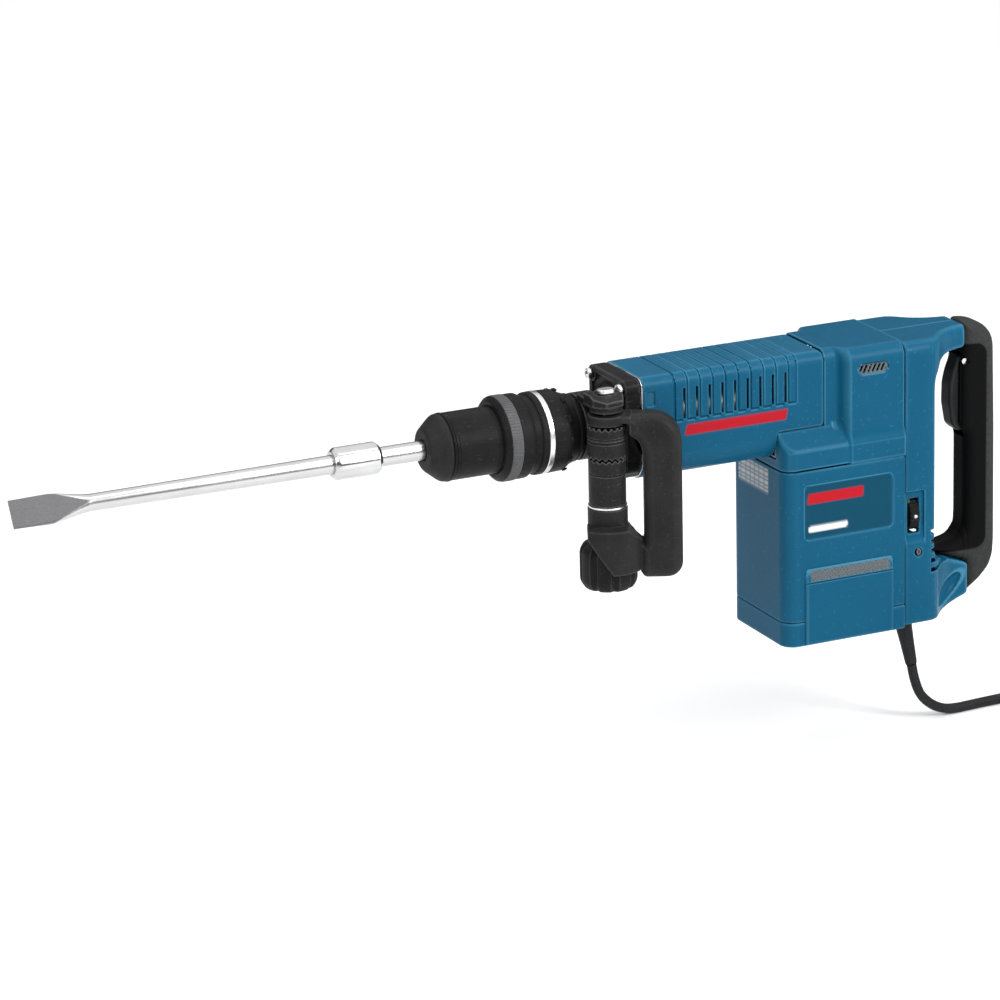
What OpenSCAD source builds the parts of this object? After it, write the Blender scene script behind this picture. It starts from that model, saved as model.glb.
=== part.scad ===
// Electric demolition hammer with a flat chisel, a swinging side handle and a rear D handle.
// Lengths are in millimetres. Inside the modules X runs back from the front of the barrel,
// Z is measured from the impact axis, and -Y is the nameplate side. seat() moves all of it so
// that the origin is the middle of the rear grip.

/* [Barrel] */
// Length of the barrel cover
barrel_l = 186; // [160:1:224]
// Half of the width of the barrel cover
barrel_hw = 39; // [38:0.5:46]
// Height of the barrel cover's top above the impact axis
barrel_top = 47; // [44:0.5:56]
// Depth of the barrel cover's bottom below the impact axis
barrel_bot = 52; // [50:0.5:60]
// Wall of every plastic shell
shell = 3; // [2:0.1:3.4]
// Number of cooling slots along the barrel
slot_count = 9; // [4:1:9]
// Distance from one cooling slot to the next
slot_pitch = 13; // [10:0.5:13.5]

/* [Motor housing] */
// Half of the width of the motor housing
motor_hw = 54.5; // [53:0.5:64]
// Length of the motor housing
motor_l = 127; // [127:1:150]
// Depth of the base below the impact axis
base_depth = 230; // [225:1:276]
// Height of the bottom cap
cap_h = 24; // [20:1:28]
// Depth of the seam between the upper housing and the motor housing
seam_depth = 60; // [60:0.5:62]

/* [Rear handle] */
// Length of the rear housing from its front seam to its rear wall
rear_l = 37; // [36:0.5:44]
// Half of the width of the rear housing
rear_hw = 52; // [50:0.5:56]
// Distance from the rear wall to the back of the grip
reach = 77; // [72:1:92]
// Thickness of the grip bar, front to back
grip_t = 34; // [30:0.5:36]
// Half of the width of the grip
grip_hw = 17; // [15:0.5:19]
// Height of the impact axis above the middle of the grip
grip_drop = 78; // [70:1:86]
// Angle that the switch trigger turns through when it is pressed
trigger_turn = 6; // [2:0.5:7]

/* [Tool holder] */
// Diameter of the chisel shank
shank_d = 18; // [16:0.5:20]
// Length of chisel in front of the dust cap
chisel_out = 390; // [200:1:469]
// Width of the chisel's cutting edge
blade_w = 26; // [20:1:50]
// Turn of the chisel in the twelve-way tool holder
blade_turn = 330; // [0:30:330]
// Radius of the neck that the clamp and the angle ring sit on
neck_r = 27; // [26.5:0.1:28]
// Radius of the locking sleeve
lock_r = 39; // [38.5:0.1:44]
// Radius of the angle ring
vario_r = 38; // [37.5:0.1:38.4]
// Travel of the locking sleeve
lock_travel = 4; // [2:0.5:4.5]
// Travel of the angle ring
vario_travel = 2.5; // [1:0.5:2.5]

/* [Side handle] */
// Distance from the impact axis to the clamp column
column_out = 48.5; // [48.5:0.5:58]
// Radius of the clamp column
column_r = 17.5; // [15:0.5:18.5]
// Distance from the column axis to the middle of the grip bar
side_reach = 50; // [50:0.5:70]
// Thickness of the side grip bar
side_t = 35; // [28:0.5:35]
// Height of the side handle
side_h = 154; // [150:1:180]
// Swing of the side handle from the barrel's direction
side_swing = -25; // [-90:1:-22]
// Radius of the clamp knob
knob_r = 26.5; // [24:0.5:27]

/* [Mains lead] */
// Diameter of the mains cable
cord_d = 9.5; // [9:0.5:10]
// Length of the strain relief below the base
boot_l = 60; // [50:1:60]

/* [Hidden] */
$fn = 64;
eps = 0.01;
run = 0.05;                          // radial clearance of a running fit
gap = 0.4;                           // clearance between shells and what they hold

// stations along the impact axis, from the barrel front
motor_x = barrel_l - 49;             // front face of the motor housing
rear_x = motor_x + motor_l;          // seam between the motor housing and the rear housing
wall_x = rear_x + rear_l;            // rear wall
grip_back = wall_x + reach;          // back of the grip
grip_front = grip_back - grip_t;     // front of the grip bar
grip_mid = grip_back - grip_t / 2;
flange_t = 17;                       // thickness of the front flange
neck_front = -96;
holder_rear = -20;
holder_front = -191;
cap_front = -202;                    // front of the dust cap
ring_front = -184;
sleeve_front = -178;
lock_front = -135;
band_front = lock_front + 5;         // the light band round the locking sleeve
band_rear = band_front + 11;
vario_shoulder = -98.5;
vario_nose = vario_shoulder - 9;
sleeve_rear = vario_nose - 6;         // rear of the front sleeve
sleeve_step = vario_nose - 12;       // step inside the locking sleeve
lock_rear = vario_shoulder - lock_travel - vario_travel - 0.5;
vario_rear = -53;
shank_rear = -110;
holder_r = neck_r - 3.5;             // bore of the neck
hub_r = neck_r + 4;                  // outside of the front sleeve

// side handle
column_x = -42;
clamp_w = 20;                        // width of the clamp band
side_top = 24.5;                     // top of the side handle above the impact axis
ring_top = 12;                       // top of the toothed ring under the handle's eye
side_bot = side_top - side_h;
knob_top = -97;
knob_h = 43;
cup_bot = knob_top + 2.5;            // underside of the cup above the knob

// impact mechanism
cyl_r = 27;
bore_r = 23;
rod_l = 71;
throw_r = 14;
crank_x = motor_x + 24;
piston_x = crank_x + throw_r - rod_l; // piston pin at the rear dead centre
gear_m = 1.4;
pinion_z = 12;
crank_z = 44;
centres = gear_m * (pinion_z + crank_z) / 2;
motor_axis = crank_x + centres;
gear_z = -46;                        // bottom of the gears
gear_t = 10;
case_hw = 35.6;

// mains lead: the route lies on the floor that the coil rests on, behind the strain relief
boot_x = rear_x + 24;
boot_lean = 12;
floor_z = -base_depth - 118;
cord_r = cord_d / 2;
lead_from = [boot_x, 0, floor_z];
boot_top = -base_depth + 3;
boot_end = [boot_x + (boot_l + 4) * sin(boot_lean), 0,
            boot_top + 1 - (boot_l + 4) * cos(boot_lean)];
cord_path = [boot_end,
    for (p = [[16.5, 0, 44.5], [22, 0, 29.5], [30, 1, 19.5], [40.5, 2, 11.5], [52.5, 3, 6.5],
              [65.5, 3.5, cord_r], [78, 4, cord_r], [92, 5, cord_r], [112, 6, cord_r],
              [132, 7, cord_r], [152, 8, cord_r], [170, 9, cord_r], [188, 9.25, cord_r]])
        lead_from + p];
coil_mid = lead_from + [188, -62, 0];
coil_r = 57;                         // mean radius of the coil's turns
coil_w = 4 * cord_d;
coil_h = 3.6 * cord_d;
plug_at = lead_from + [271, -138, 0];
plug_r = 19;
cord_tail = [
    for (p = [[249, -37.5, 17], [254, -35.5, 16], [260, -44, 14.5], [263, -54, 13.6],
              [266, -74, 12.6], [268.5, -90, 13], [270.5, -106, 13.8]])
        lead_from + p + [0, 0, cord_r],
    plug_at + [0, 16, plug_r]];

module seat() { translate([-grip_mid, 0, grip_drop]) children(); }
module along_x(x) { translate([x, 0, 0]) rotate([0, 90, 0]) children(); }
module rod(x0, x1, r) { along_x(x0) cylinder(r = r, h = x1 - x0); }
module tube(x0, x1, r_out, r_in) {
    difference() {
        rod(x0, x1, r_out);
        rod(x0 - 1, x1 + 1, r_in);
    }
}
module post(x, y, z0, z1, r) { translate([x, y, z0]) cylinder(r = r, h = z1 - z0); }
module block(x0, x1, y0, y1, z0, z1) {
    translate([x0, y0, z0]) cube([x1 - x0, y1 - y0, z1 - z0]);
}

// a rounded outline: half width hw, from bottom lo to top hi, corner radii
module outline(hw, lo, hi, r_hi, r_lo) {
    polygon([
        for (a = [0 : 15 : 90]) [hw - r_hi + r_hi * cos(a), hi - r_hi + r_hi * sin(a)],
        for (a = [90 : 15 : 180]) [-hw + r_hi + r_hi * cos(a), hi - r_hi + r_hi * sin(a)],
        for (a = [180 : 15 : 270]) [-hw + r_lo + r_lo * cos(a), lo + r_lo + r_lo * sin(a)],
        for (a = [270 : 15 : 360]) [hw - r_lo + r_lo * cos(a), lo + r_lo + r_lo * sin(a)]]);
}
// the outline stands in the YZ plane and runs from x0 to x1
module bar(x0, x1, hw, lo, hi, r_hi, r_lo) {
    translate([x0, 0, 0]) rotate([90, 0, 90])
        linear_extrude(x1 - x0) outline(hw, lo, hi, r_hi, r_lo);
}
// a plan with rounded front corners, from z0 to z1
module plan(x0, x1, hw, r, z0, z1) {
    translate([0, 0, z0]) linear_extrude(z1 - z0) polygon([
        [x1, -hw], [x1, hw],
        for (a = [90 : 15 : 180]) [x0 + r + r * cos(a), hw - r + r * sin(a)],
        for (a = [180 : 15 : 270]) [x0 + r + r * cos(a), -hw + r + r * sin(a)]]);
}
// a profile in the XZ plane, extruded from -hw to hw in Y
module side_profile(points, hw) {
    translate([0, hw, 0]) rotate([90, 0, 0]) linear_extrude(2 * hw) polygon(points);
}

// ---------------------------------------------------------------- chisel and tool holder
module chisel() {
    tip = cap_front - chisel_out;
    r = shank_d / 2;
    color("slategray") rotate([blade_turn, 0, 0]) {
        difference() {
            union() {
                rod(tip + 76, shank_rear, r);
                rod(-291, -245, r + 6);
                hull() {
                    rod(tip + 75, tip + 76, r);
                    translate([tip + 34, -3.5, -blade_w / 2]) cube([1, 7, blade_w]);
                }
                hull() {
                    translate([tip + 34, -3.5, -blade_w / 2]) cube([1, 7, blade_w]);
                    translate([tip, -0.6, -blade_w / 2]) cube([1, 1.2, blade_w]);
                }
            }
            for (s = [-1, 1]) {
                block(-152, -126, s * (r + 2) - 4, s * (r + 2) + 4, -4.5, 4.5);
                block(-160, shank_rear + 1, -2.5, 2.5, s * (r + 1) - 3, s * (r + 1) + 3);
            }
        }
    }
}

module dust_cap() {
    color("dimgray") along_x(0) rotate_extrude() polygon([
        [shank_d / 2 + 0.5, cap_front], [19, cap_front], [21, cap_front + 1.5],
        [hub_r - 1, ring_front - 4], [hub_r, ring_front - 2], [hub_r, ring_front],
        [holder_r - run, ring_front], [holder_r - run, holder_front],
        [shank_d / 2 + 0.5, holder_front]]);
}

module cap_ring() {
    color("black") tube(ring_front, sleeve_front, hub_r + 0.5, holder_r - run);
}

module front_sleeve() {
    color("black") along_x(0) rotate_extrude() polygon([
        [holder_r - run, sleeve_front], [hub_r - 0.5, sleeve_front],
        [hub_r - run, sleeve_front + 1], [hub_r - run, sleeve_rear], [holder_r - run, sleeve_rear]]);
}

module tool_holder() {
    color("gray") rotate([blade_turn, 0, 0]) difference() {
        rod(holder_front, holder_rear, holder_r - run);
        rod(holder_front - 1, -107, shank_d / 2 + run);
        rod(-108, holder_rear + 1, 15);
        block(-150.3, -139.7, -holder_r - 1, holder_r + 1, -4.3, 4.3);
    }
}

module locking_segments() {
    color("silver") rotate([blade_turn, 0, 0]) for (s = [-1, 1])
        block(-150, -140, min(s * 7.6, s * 22), max(s * 7.6, s * 22), -4, 4);
}

module lock_spring() {
    wire = 1;
    mid = holder_r + 1.3;
    front = sleeve_rear + wire + gap;
    pitch = (neck_front - wire - gap - front) / 3;
    color("silver") {
        for (i = [0 : 3]) along_x(front + i * pitch) rotate_extrude()
            translate([mid, 0]) circle(r = wire, $fn = 24);
        block(front, front + 3 * pitch, -1, 1, mid - 0.5, mid + 0.5);
    }
}

module locking_sleeve() {
    cut = 3.5;
    bore = vario_r - 1.4;
    color("black") along_x(0) rotate_extrude() polygon([
        [hub_r, lock_front], [lock_r - 4, lock_front], [lock_r - 1, lock_front + cut],
        [lock_r, lock_front + 4], [lock_r, band_front], [lock_r - 1, band_front],
        [lock_r - 1, band_rear], [lock_r, band_rear], [lock_r, lock_rear - cut],
        [lock_r - 1.2, lock_rear - 1], [lock_r - 1.9, lock_rear], [bore, lock_rear],
        [bore, sleeve_step], [hub_r, sleeve_step]]);
}

module sleeve_band() {
    color("gray") tube(band_front, band_rear, lock_r + 0.4, lock_r - 1);
}

module vario_ring() {
    color("black") along_x(0) rotate_extrude() polygon([
        [neck_r + run, vario_nose], [vario_r - 2, vario_nose],
        [vario_r - 2, vario_shoulder], [vario_r - 0.8, vario_shoulder],
        [vario_r, vario_shoulder + 1.5], [vario_r, vario_shoulder + 6],
        [vario_r - 0.8, vario_shoulder + 6], [vario_r - 0.8, vario_shoulder + 11],
        [vario_r, vario_shoulder + 11], [vario_r - 0.4, -71], [vario_r - 3, -65],
        [neck_r + 3.5, vario_rear - 1], [neck_r + 2.5, vario_rear],
        [neck_r + run, vario_rear]]);
}

module vario_band() {
    color("silver") tube(vario_shoulder + 6, vario_shoulder + 11, vario_r + 0.3,
                         vario_r - 0.8);
}

// ---------------------------------------------------------------- front housing
screw_y = barrel_hw - 8;
screw_z = [barrel_top - 9, 17 - barrel_bot];

module front_housing() {
    color("black") difference() {
        union() {
            rod(neck_front, -flange_t + 1, neck_r);
            bar(-flange_t, 0, barrel_hw - 1, -barrel_bot + 2, barrel_top - 1, 9, 22);
            for (x = [-27, -23]) tube(x, x + 1.6, neck_r + 1.2, neck_r - 1);
        }
        rod(neck_front - 1, 1, holder_r);
        rod(-flange_t + 1, 1, cyl_r);
        for (s = [-1, 1], z = screw_z)
            along_x(-flange_t - 1) translate([-z, s * screw_y, 0]) cylinder(r = 3, h = 20);
    }
}

module flange_screws() {
    color("silver") for (s = [-1, 1], z = screw_z)
        along_x(-flange_t) translate([-z, s * screw_y, 0]) {
            cylinder(r = 3, h = flange_t - 1);
            translate([0, 0, -5]) difference() {
                cylinder(r = 5, h = 5);
                translate([0, 0, -1]) cylinder(r = 2.9, h = 4, $fn = 6);
            }
        }
}

// ---------------------------------------------------------------- side handle
module at_column() { translate([column_x, -column_out, 0]) children(); }

module clamp_band() {
    x0 = column_x - clamp_w / 2;
    x1 = column_x + clamp_w / 2;
    ear = column_r - 2.5;
    color("black") difference() {
        union() {
            rod(x0, x1, neck_r + 4);
            block(x0, x1, -column_out, -8, side_top + gap, 33);
            at_column() translate([0, 0, side_top + gap]) cylinder(r = ear, h = 7 - gap);
        }
        rod(x0 - 1, x1 + 1, neck_r + run);
        at_column() translate([0, 0, -50]) cylinder(r = 5, h = 100);
    }
}

module clamp_plate() {
    color("dimgray") at_column() difference() {
        translate([0, 0, 33]) linear_extrude(10) polygon([
            [-column_r, -9], [-8, -column_r - 1], [10, -column_r + 2], [column_r - 2, -4],
            [column_r - 2, 11], [-column_r, 11]]);
        translate([0, 0, 32]) cylinder(r = 5, h = 20);
    }
}

module clamp_bolt() {
    color("silver") at_column() {
        translate([0, 0, knob_top - 20]) cylinder(r = 5, h = 43 - knob_top + 20);
        translate([0, 0, 43]) cylinder(r = 8, h = 4);
    }
}

module teeth(r, z, count) {
    for (i = [0 : count - 1]) rotate([0, 0, i * 360 / count])
        translate([r - 4, -1.1, z]) cube([3.6, 2.2, 1.8]);
}

// fixed to the clamp, between the side handle's eye and the spacer sleeve
module detent_ring() {
    color("dimgray") difference() {
        at_column() {
            translate([0, 0, -15]) cylinder(r = column_r, h = ring_top + 15);
            teeth(column_r, ring_top - 0.2, 24);
            teeth(column_r, -16.6, 24);
        }
        at_column() translate([0, 0, -20]) cylinder(r = 5, h = 40);
        rod(column_x - clamp_w, column_x + clamp_w, neck_r + 4);
    }
}

side_in = side_reach - side_t / 2;   // inner edge of the side grip
side_out = side_reach + side_t / 2;  // outer edge of the side grip

module side_loop() {
    r_top = 30;
    r_bot = 15;
    hw = side_t / 2 - 2.5;
    rotate([0, 0, side_swing]) translate([0, hw, 0]) rotate([90, 0, 0])
        linear_extrude(2 * hw) polygon([
            [0, ring_top + 4], [0, side_top],
            for (a = [90 : -15 : 0])
                [side_out - r_top + r_top * cos(a), side_top - r_top + r_top * sin(a)],
            for (a = [0 : -15 : -90])
                [side_out - r_bot + r_bot * cos(a), side_bot + r_bot + r_bot * sin(a)],
            [knob_r + 6, side_bot], [knob_r - 6, side_bot + 8],
            [column_r - 2, cup_bot - 2], [column_r - 2, cup_bot + 18],
            [side_in, cup_bot - 6],
            for (a = [0 : 15 : 45])
                [side_in - 20 + 20 * cos(a), side_top - 37 + 20 * sin(a)],
            [column_r + 1.5, side_top - 19], [column_r + 1.5, ring_top + 4]]);
}

// the shield wraps round the knob, on the side away from the barrel
module knob_shield() {
    low = knob_top - 24;
    high = knob_top + 18;
    intersection() {
        translate([0, 0, low]) cylinder(r = knob_r + 6, h = high - low);
        rotate([0, 0, side_swing]) translate([0, -4, 0]) rotate([90, 0, 0])
            linear_extrude(knob_r + 10) polygon([
                [-19, high], [-19, high - 9], [4, low], [knob_r + 7, low],
                [knob_r + 7, cup_bot - 2], [18, high]]);
    }
}

module side_handle() {
    color("black") at_column() difference() {
        union() {
            side_loop();
            translate([0, 0, ring_top + 2.5]) cylinder(r = column_r - 0.5, h = side_top - ring_top - 3.5);
            translate([0, 0, cup_bot - 1]) cylinder(r = column_r + 0.8, h = -62 - cup_bot);
            knob_shield();
        }
        translate([0, 0, -200]) cylinder(r = 5.6, h = 300);
        translate([0, 0, knob_top - 60]) cylinder(r = knob_r + 1, h = cup_bot - knob_top + 60);
    }
}

module column_sleeve() {
    color("black") at_column() difference() {
        translate([0, 0, -61]) cylinder(r = column_r - 0.3, h = 61 - 17.4);
        translate([0, 0, -62]) cylinder(r = 5.6, h = 60);
    }
}

module side_washer() {
    color("silver") at_column() difference() {
        translate([0, 0, -63]) cylinder(r = column_r + 0.4, h = 2);
        translate([0, 0, -64]) cylinder(r = 5.6, h = 5);
    }
}

module clamp_knob() {
    color("black") at_column() difference() {
        union() {
            translate([0, 0, knob_top - knob_h]) cylinder(r = knob_r - 3, h = knob_h);
            for (i = [0 : 7]) rotate([0, 0, i * 45 + 10]) translate([knob_r - 6, 0, 0])
                translate([0, 0, knob_top - knob_h + 4]) cylinder(r = 6, h = knob_h - 8);
            translate([0, 0, knob_top - 1]) cylinder(r = 12, h = 3);
        }
        translate([0, 0, knob_top - 20 - gap]) cylinder(r = 5 + run, h = 30);
    }
}

// ---------------------------------------------------------------- impact mechanism
module cylinder_tube() {
    color("silver") tube(-flange_t + 1, motor_x - 19, cyl_r, bore_r);
}

module beat_piece() {
    color("gray") {
        rod(shank_rear + 3, -84, 8.9);
        rod(-84.5, -30, 15 - run);
        rod(-31, 4, 10);
    }
}

module striker() {
    color("gray") rod(18, 46, bore_r - run);
}

module piston() {
    color("silver") difference() {
        rod(piston_x - 18, piston_x + 14, bore_r - run);
        block(piston_x - 10, piston_x + 15, -16, 16, -5.6, 5.6);
        post(piston_x, 0, -30, 30, 5);
    }
}

module piston_pin() {
    color("gray") post(piston_x, 0, -18, 18, 5);
}

module connecting_rod() {
    color("silver") difference() {
        union() {
            post(piston_x, 0, -5, 5, 9);
            block(piston_x, crank_x, -6, 6, -5, 5);
            post(crank_x, 0, -5, 5, 10);
        }
        post(piston_x, 0, -6, 6, 5 + run);
        post(crank_x, 0, -6, 6, 5.2);
    }
}

// ---------------------------------------------------------------- gears and motor
function inv(a) = tan(a) * 180 / PI - a;
function flank(z, m, r, play) =
    90 / z + inv(20) - inv(acos(min(1, m * z * cos(20) / 2 / r))) - play;
function tooth(z, m, play) =
    let (rp = m * z / 2, rf = rp - 1.2 * m, rb = rp * cos(20), ra = rp + 0.8 * m,
         radii = [rf, max(rb, rf + 0.1), (rb + ra) / 2, rp + 0.3 * m, ra])
    [for (i = [0 : z - 1], s = [-1, 1], k = [0 : 4])
        let (r = s < 0 ? radii[k] : radii[4 - k], a = i * 360 / z + s * flank(z, m, r, play))
        [r * cos(a), r * sin(a)]];
module spur(z, m, play, h) { linear_extrude(h) polygon(tooth(z, m, play)); }

module crank_gear() {
    color("gray") translate([crank_x, 0, gear_z]) rotate([0, 0, 180 / crank_z])
        spur(crank_z, gear_m, 0.3, gear_t);
}

// the journal below the gear, and above it the crank web with its pin
module crankshaft() {
    color("silver") {
        post(crank_x, 0, -60, gear_z, 7);
        post(crank_x, 0, gear_z + gear_t, gear_z + gear_t + 22, 22);
        post(crank_x + throw_r, 0, gear_z + gear_t + 21.8, -6.6, 5);
    }
}

module crank_bearing() {
    color("silver") difference() {
        post(crank_x, 0, -60, -49, 15);
        post(crank_x, 0, -62, -48, 7 + run);
    }
}

module gear_case() {
    front = motor_x - 25;
    low = -barrel_bot + shell;
    back = motor_axis + 20;
    color("darkgray") difference() {
        union() {
            bar(front, front + 6, 34, low + 2, 34, 5, 20);
            intersection() {
                bar(front + 5, motor_x + 1, case_hw, low, 5, 1, 20.6);
                block(front, motor_x + 1, -50, 50, -90, -12);
            }
            block(motor_x, back, -case_hw, case_hw, low, -12);
            block(motor_x + shell + 1, back, -case_hw, case_hw, -61, low + 1);
        }
        intersection() {
            bar(front + 6, back - 3, case_hw - 2, gear_z - 1.5, 5, 1, 16);
            block(front, back, -50, 50, -90, 1);
        }
        block(motor_x, back - 3, -case_hw + 2, case_hw - 2, gear_z - 1.5, 0);
        rod(front - 1, front + 8, cyl_r);
        post(crank_x, 0, -60, -40, 15);
        post(crank_x, 0, -62, -59, 8);
        post(motor_axis, 0, -62, -40, 13);
    }
}

module pinion() {
    color("silver") translate([motor_axis, 0, gear_z + 0.5])
        spur(pinion_z, gear_m, 1.2, gear_t + 2);
}

module armature() {
    color("peru") {
        post(motor_axis, 0, -205, gear_z + 0.5, 5);
        post(motor_axis, 0, -165, -105, 27);
        post(motor_axis, 0, -178, -165, 20);
        post(motor_axis, 0, -105, -96, 20);
        post(motor_axis, 0, -194, -180, 15);
    }
}

module fan() {
    color("ivory") translate([motor_axis, 0, -84]) difference() {
        union() {
            cylinder(r = 9, h = 14);
            cylinder(r = 43, h = 2);
            for (i = [0 : 10]) rotate([0, 0, i * 360 / 11])
                translate([8, -1, 1]) cube([33, 2, 12]);
        }
        translate([0, 0, -1]) cylinder(r = 5, h = 20);
    }
}

module stator() {
    hold = motor_hw - shell;
    color("saddlebrown") difference() {
        intersection() {
            post(motor_axis, 0, -168, -102, hold + 2);
            block(motor_axis - 49, motor_axis + 49, -hold, hold, -170, -100);
        }
        post(motor_axis, 0, -170, -100, 28.2);
    }
}

module ball_bearing(z0, z1, r_out, r_in) {
    color("silver") difference() {
        post(motor_axis, 0, z0, z1, r_out);
        post(motor_axis, 0, z0 - 1, z1 + 1, r_in);
    }
}

module carbon_brushes() {
    color("dimgray") for (s = [-1, 1])
        block(motor_axis - 4, motor_axis + 4, s > 0 ? 15.4 : -48, s > 0 ? 48 : -15.4, -192, -182);
}

// ---------------------------------------------------------------- blue housing
rib_first = 32;
skirt = 24;                          // lower edge of the barrel cover above the motor

module barrel_cover() {
    color("steelblue") difference() {
        bar(0, barrel_l, barrel_hw, -barrel_bot, barrel_top, 10, 24);
        bar(-1, barrel_l + 1, barrel_hw - shell, -barrel_bot + shell, barrel_top - shell, 7,
            21);
        block(motor_x, barrel_l + 1, -60, 60, -80, -skirt);
        for (i = [0 : slot_count - 1])
            block(rib_first + 10.5 + i * slot_pitch, rib_first + 13 + i * slot_pitch,
                  -60, 60, 5, 34);
        for (s = [-1, 1])
            block(4, 12, s * (barrel_hw + 2) - 3.5, s * (barrel_hw + 2) + 3.5, 20, 34);
        difference() {
            for (i = [0 : slot_count])
                block(rib_first + i * slot_pitch - 0.6, rib_first + i * slot_pitch + 0.6,
                      -60, 60, 2.5, 70);
            bar(-2, barrel_l + 2, barrel_hw - 1, -90, barrel_top - 1, 9, 9);
        }
    }
}

upper_x = barrel_l;
upper_hw = rear_hw;

// plan of the upper housing: narrow where it meets the barrel, then a slanted step outwards
module upper_plan(inset) {
    polygon([for (s = [-1, 1], k = s < 0 ? [0 : 3] : [3 : -1 : 0])
        [[upper_x + eps, barrel_hw - inset], [upper_x + 4, barrel_hw - inset],
         [upper_x + 27, upper_hw - inset], [rear_x, upper_hw - inset]][k]
        - (s < 0 ? [0, 2 * ([barrel_hw, barrel_hw, upper_hw, upper_hw][k] - inset)]
                 : [0, 0])]);
}

module upper_body(inset) {
    intersection() {
        translate([0, 0, -seam_depth + eps]) linear_extrude(seam_depth + barrel_top + 2)
            upper_plan(inset);
        bar(upper_x, rear_x, upper_hw - inset, -90, barrel_top + 1 - inset, 12 - inset, 9);
    }
}

// the shoulders under the barrel cover: a section that slopes out from the cover's skirt
module shoulder(inset) {
    top = barrel_hw + gap;
    full = motor_hw - inset;
    translate([motor_x + inset, 0, 0]) rotate([90, 0, 90])
        linear_extrude(motor_l - inset) polygon([
            [-full, -seam_depth], [-full, -42], [-top + inset, -skirt - gap - inset],
            [top - inset, -skirt - gap - inset], [full, -42], [full, -seam_depth]]);
}

module upper_housing() {
    color("steelblue") difference() {
        union() {
            upper_body(0);
            intersection() {
                shoulder(0);
                plan(motor_x, rear_x, motor_hw, 14, -90, 0);
            }
        }
        translate([0, 0, -1]) upper_body(shell);
        difference() {
            upper_body(shell);
            block(rear_x - 3, rear_x + 3, -90, 90, -90, 90);
        }
        intersection() {
            translate([0, 0, -1]) shoulder(shell);
            plan(motor_x + shell, rear_x + 5, motor_hw - shell, 11, -90, 0);
        }
        block(upper_x - 60, upper_x + 6, -barrel_hw + shell, barrel_hw - shell, -90,
              barrel_top - shell);
        block(rear_x - 5, rear_x + 1, -40, 40, -90, barrel_top - 10);
        block(motor_x - 1, rear_x - 10, -case_hw - gap, case_hw + gap, -90, 0);
        for (s = [-1, 1], i = [0 : 5])
            block(218 - 186 + barrel_l + i * 4.6, 218 - 186 + barrel_l + i * 4.6 + 2,
                  s * upper_hw - 6, s * upper_hw + 6, 23, 33);
    }
}

module motor_housing() {
    top = -seam_depth;
    low = -base_depth + cap_h;
    color("steelblue") difference() {
        plan(motor_x, rear_x, motor_hw, 14, low, top);
        difference() {
            plan(motor_x + shell, rear_x + 1, motor_hw - shell, 11, low - 1, top + 1);
            block(rear_x - 3, rear_x + 2, -90, 90, -300, 0);
        }
        block(rear_x - 5, rear_x + 1, -30, 30, low + 8, top - 8);
        for (s = [-1, 1])
            block(motor_x + 20, rear_x - 14, s * (motor_hw + 2) - 3, s * (motor_hw + 2) + 3,
                  -127, -75);
    }
}

module bottom_cap() {
    low = -base_depth;
    top = low + cap_h;
    color("steelblue") difference() {
        union() {
            plan(motor_x, rear_x, motor_hw, 14, low, top);
            bar(motor_x + 26, motor_x + 66, 30, low - 7, low + 1, 1, 4);
        }
        difference() {
            plan(motor_x + shell, rear_x - 3, motor_hw - shell, 11, low + shell, top + 1);
            post(motor_axis, 0, low, top + 2, 15);
        }
        post(motor_axis, 0, -208, -190, 11);
        post(motor_axis, 0, low + 6, -200, 8);
    }
    color("steelblue") difference() {
        post(motor_axis, 0, top - 1, -198, 15);
        post(motor_axis, 0, -208, -190, 11);
    }
}

// raised covers over the brush gear, one on each side
cover_x0 = motor_x + 20;
cover_x1 = rear_x - 14;
module brush_covers() {
    out = motor_hw + 3;
    color("steelblue") for (s = [-1, 1]) mirror([0, s > 0 ? 1 : 0, 0])
        translate([cover_x0, 0, 0]) rotate([90, 0, 90])
            linear_extrude(cover_x1 - cover_x0) polygon([
                [-motor_hw, -153], [-out + 0.5, -160], [-out, -168], [-out, -base_depth + 1],
                [-motor_hw, -base_depth + 1]]);
}

// ---------------------------------------------------------------- rear housing and grip
arm_x = grip_front + 2;              // seam between the blue arms and the black grip
low_arm_x = grip_front + 8;
top_z = barrel_top;
foot_z = -base_depth;
arm_z = top_z - 23;                  // underside of the upper arm
low_arm_z = -195;

module rear_profile(d) {
    side_profile([
        [rear_x, top_z - d], [arm_x, top_z - d], [arm_x, arm_z + d],
        [wall_x + 22, arm_z - 1 + d], [wall_x + 10 - d, arm_z - 5 + d],
        [wall_x + 3 - d, arm_z - 14], [wall_x - d, arm_z - 22],
        [wall_x - d, -160], [wall_x + 3 - d, -168 - d], [wall_x + 12 - d, -175 - d],
        [low_arm_x, low_arm_z - d], [low_arm_x, foot_z + 10 + d],
        [wall_x + 7, foot_z + d], [rear_x, foot_z + d]], 60);
}
module rear_plan(d) {
    translate([0, 0, foot_z - 5]) linear_extrude(base_depth + 100) polygon([
        for (s = [-1, 1], k = s < 0 ? [0 : 5] : [5 : -1 : 0])
            [[rear_x, rear_hw - d], [wall_x - 6, rear_hw - d], [wall_x, rear_hw - 3 - d],
             [wall_x + 10, rear_hw - 16 - d], [wall_x + 26, grip_hw + 8 - d],
             [low_arm_x, grip_hw + 1 - d]][k]
            - (s < 0 ? [0, 2 * ([rear_hw, rear_hw, rear_hw - 3, rear_hw - 16, grip_hw + 8,
                                 grip_hw + 1][k] - d)] : [0, 0])]);
}
module rear_shape(d) {
    intersection() {
        rear_profile(d);
        rear_plan(d);
        bar(rear_x, low_arm_x, rear_hw - d, foot_z - 1, barrel_top - d, 12 - d, 4);
    }
}

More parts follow.
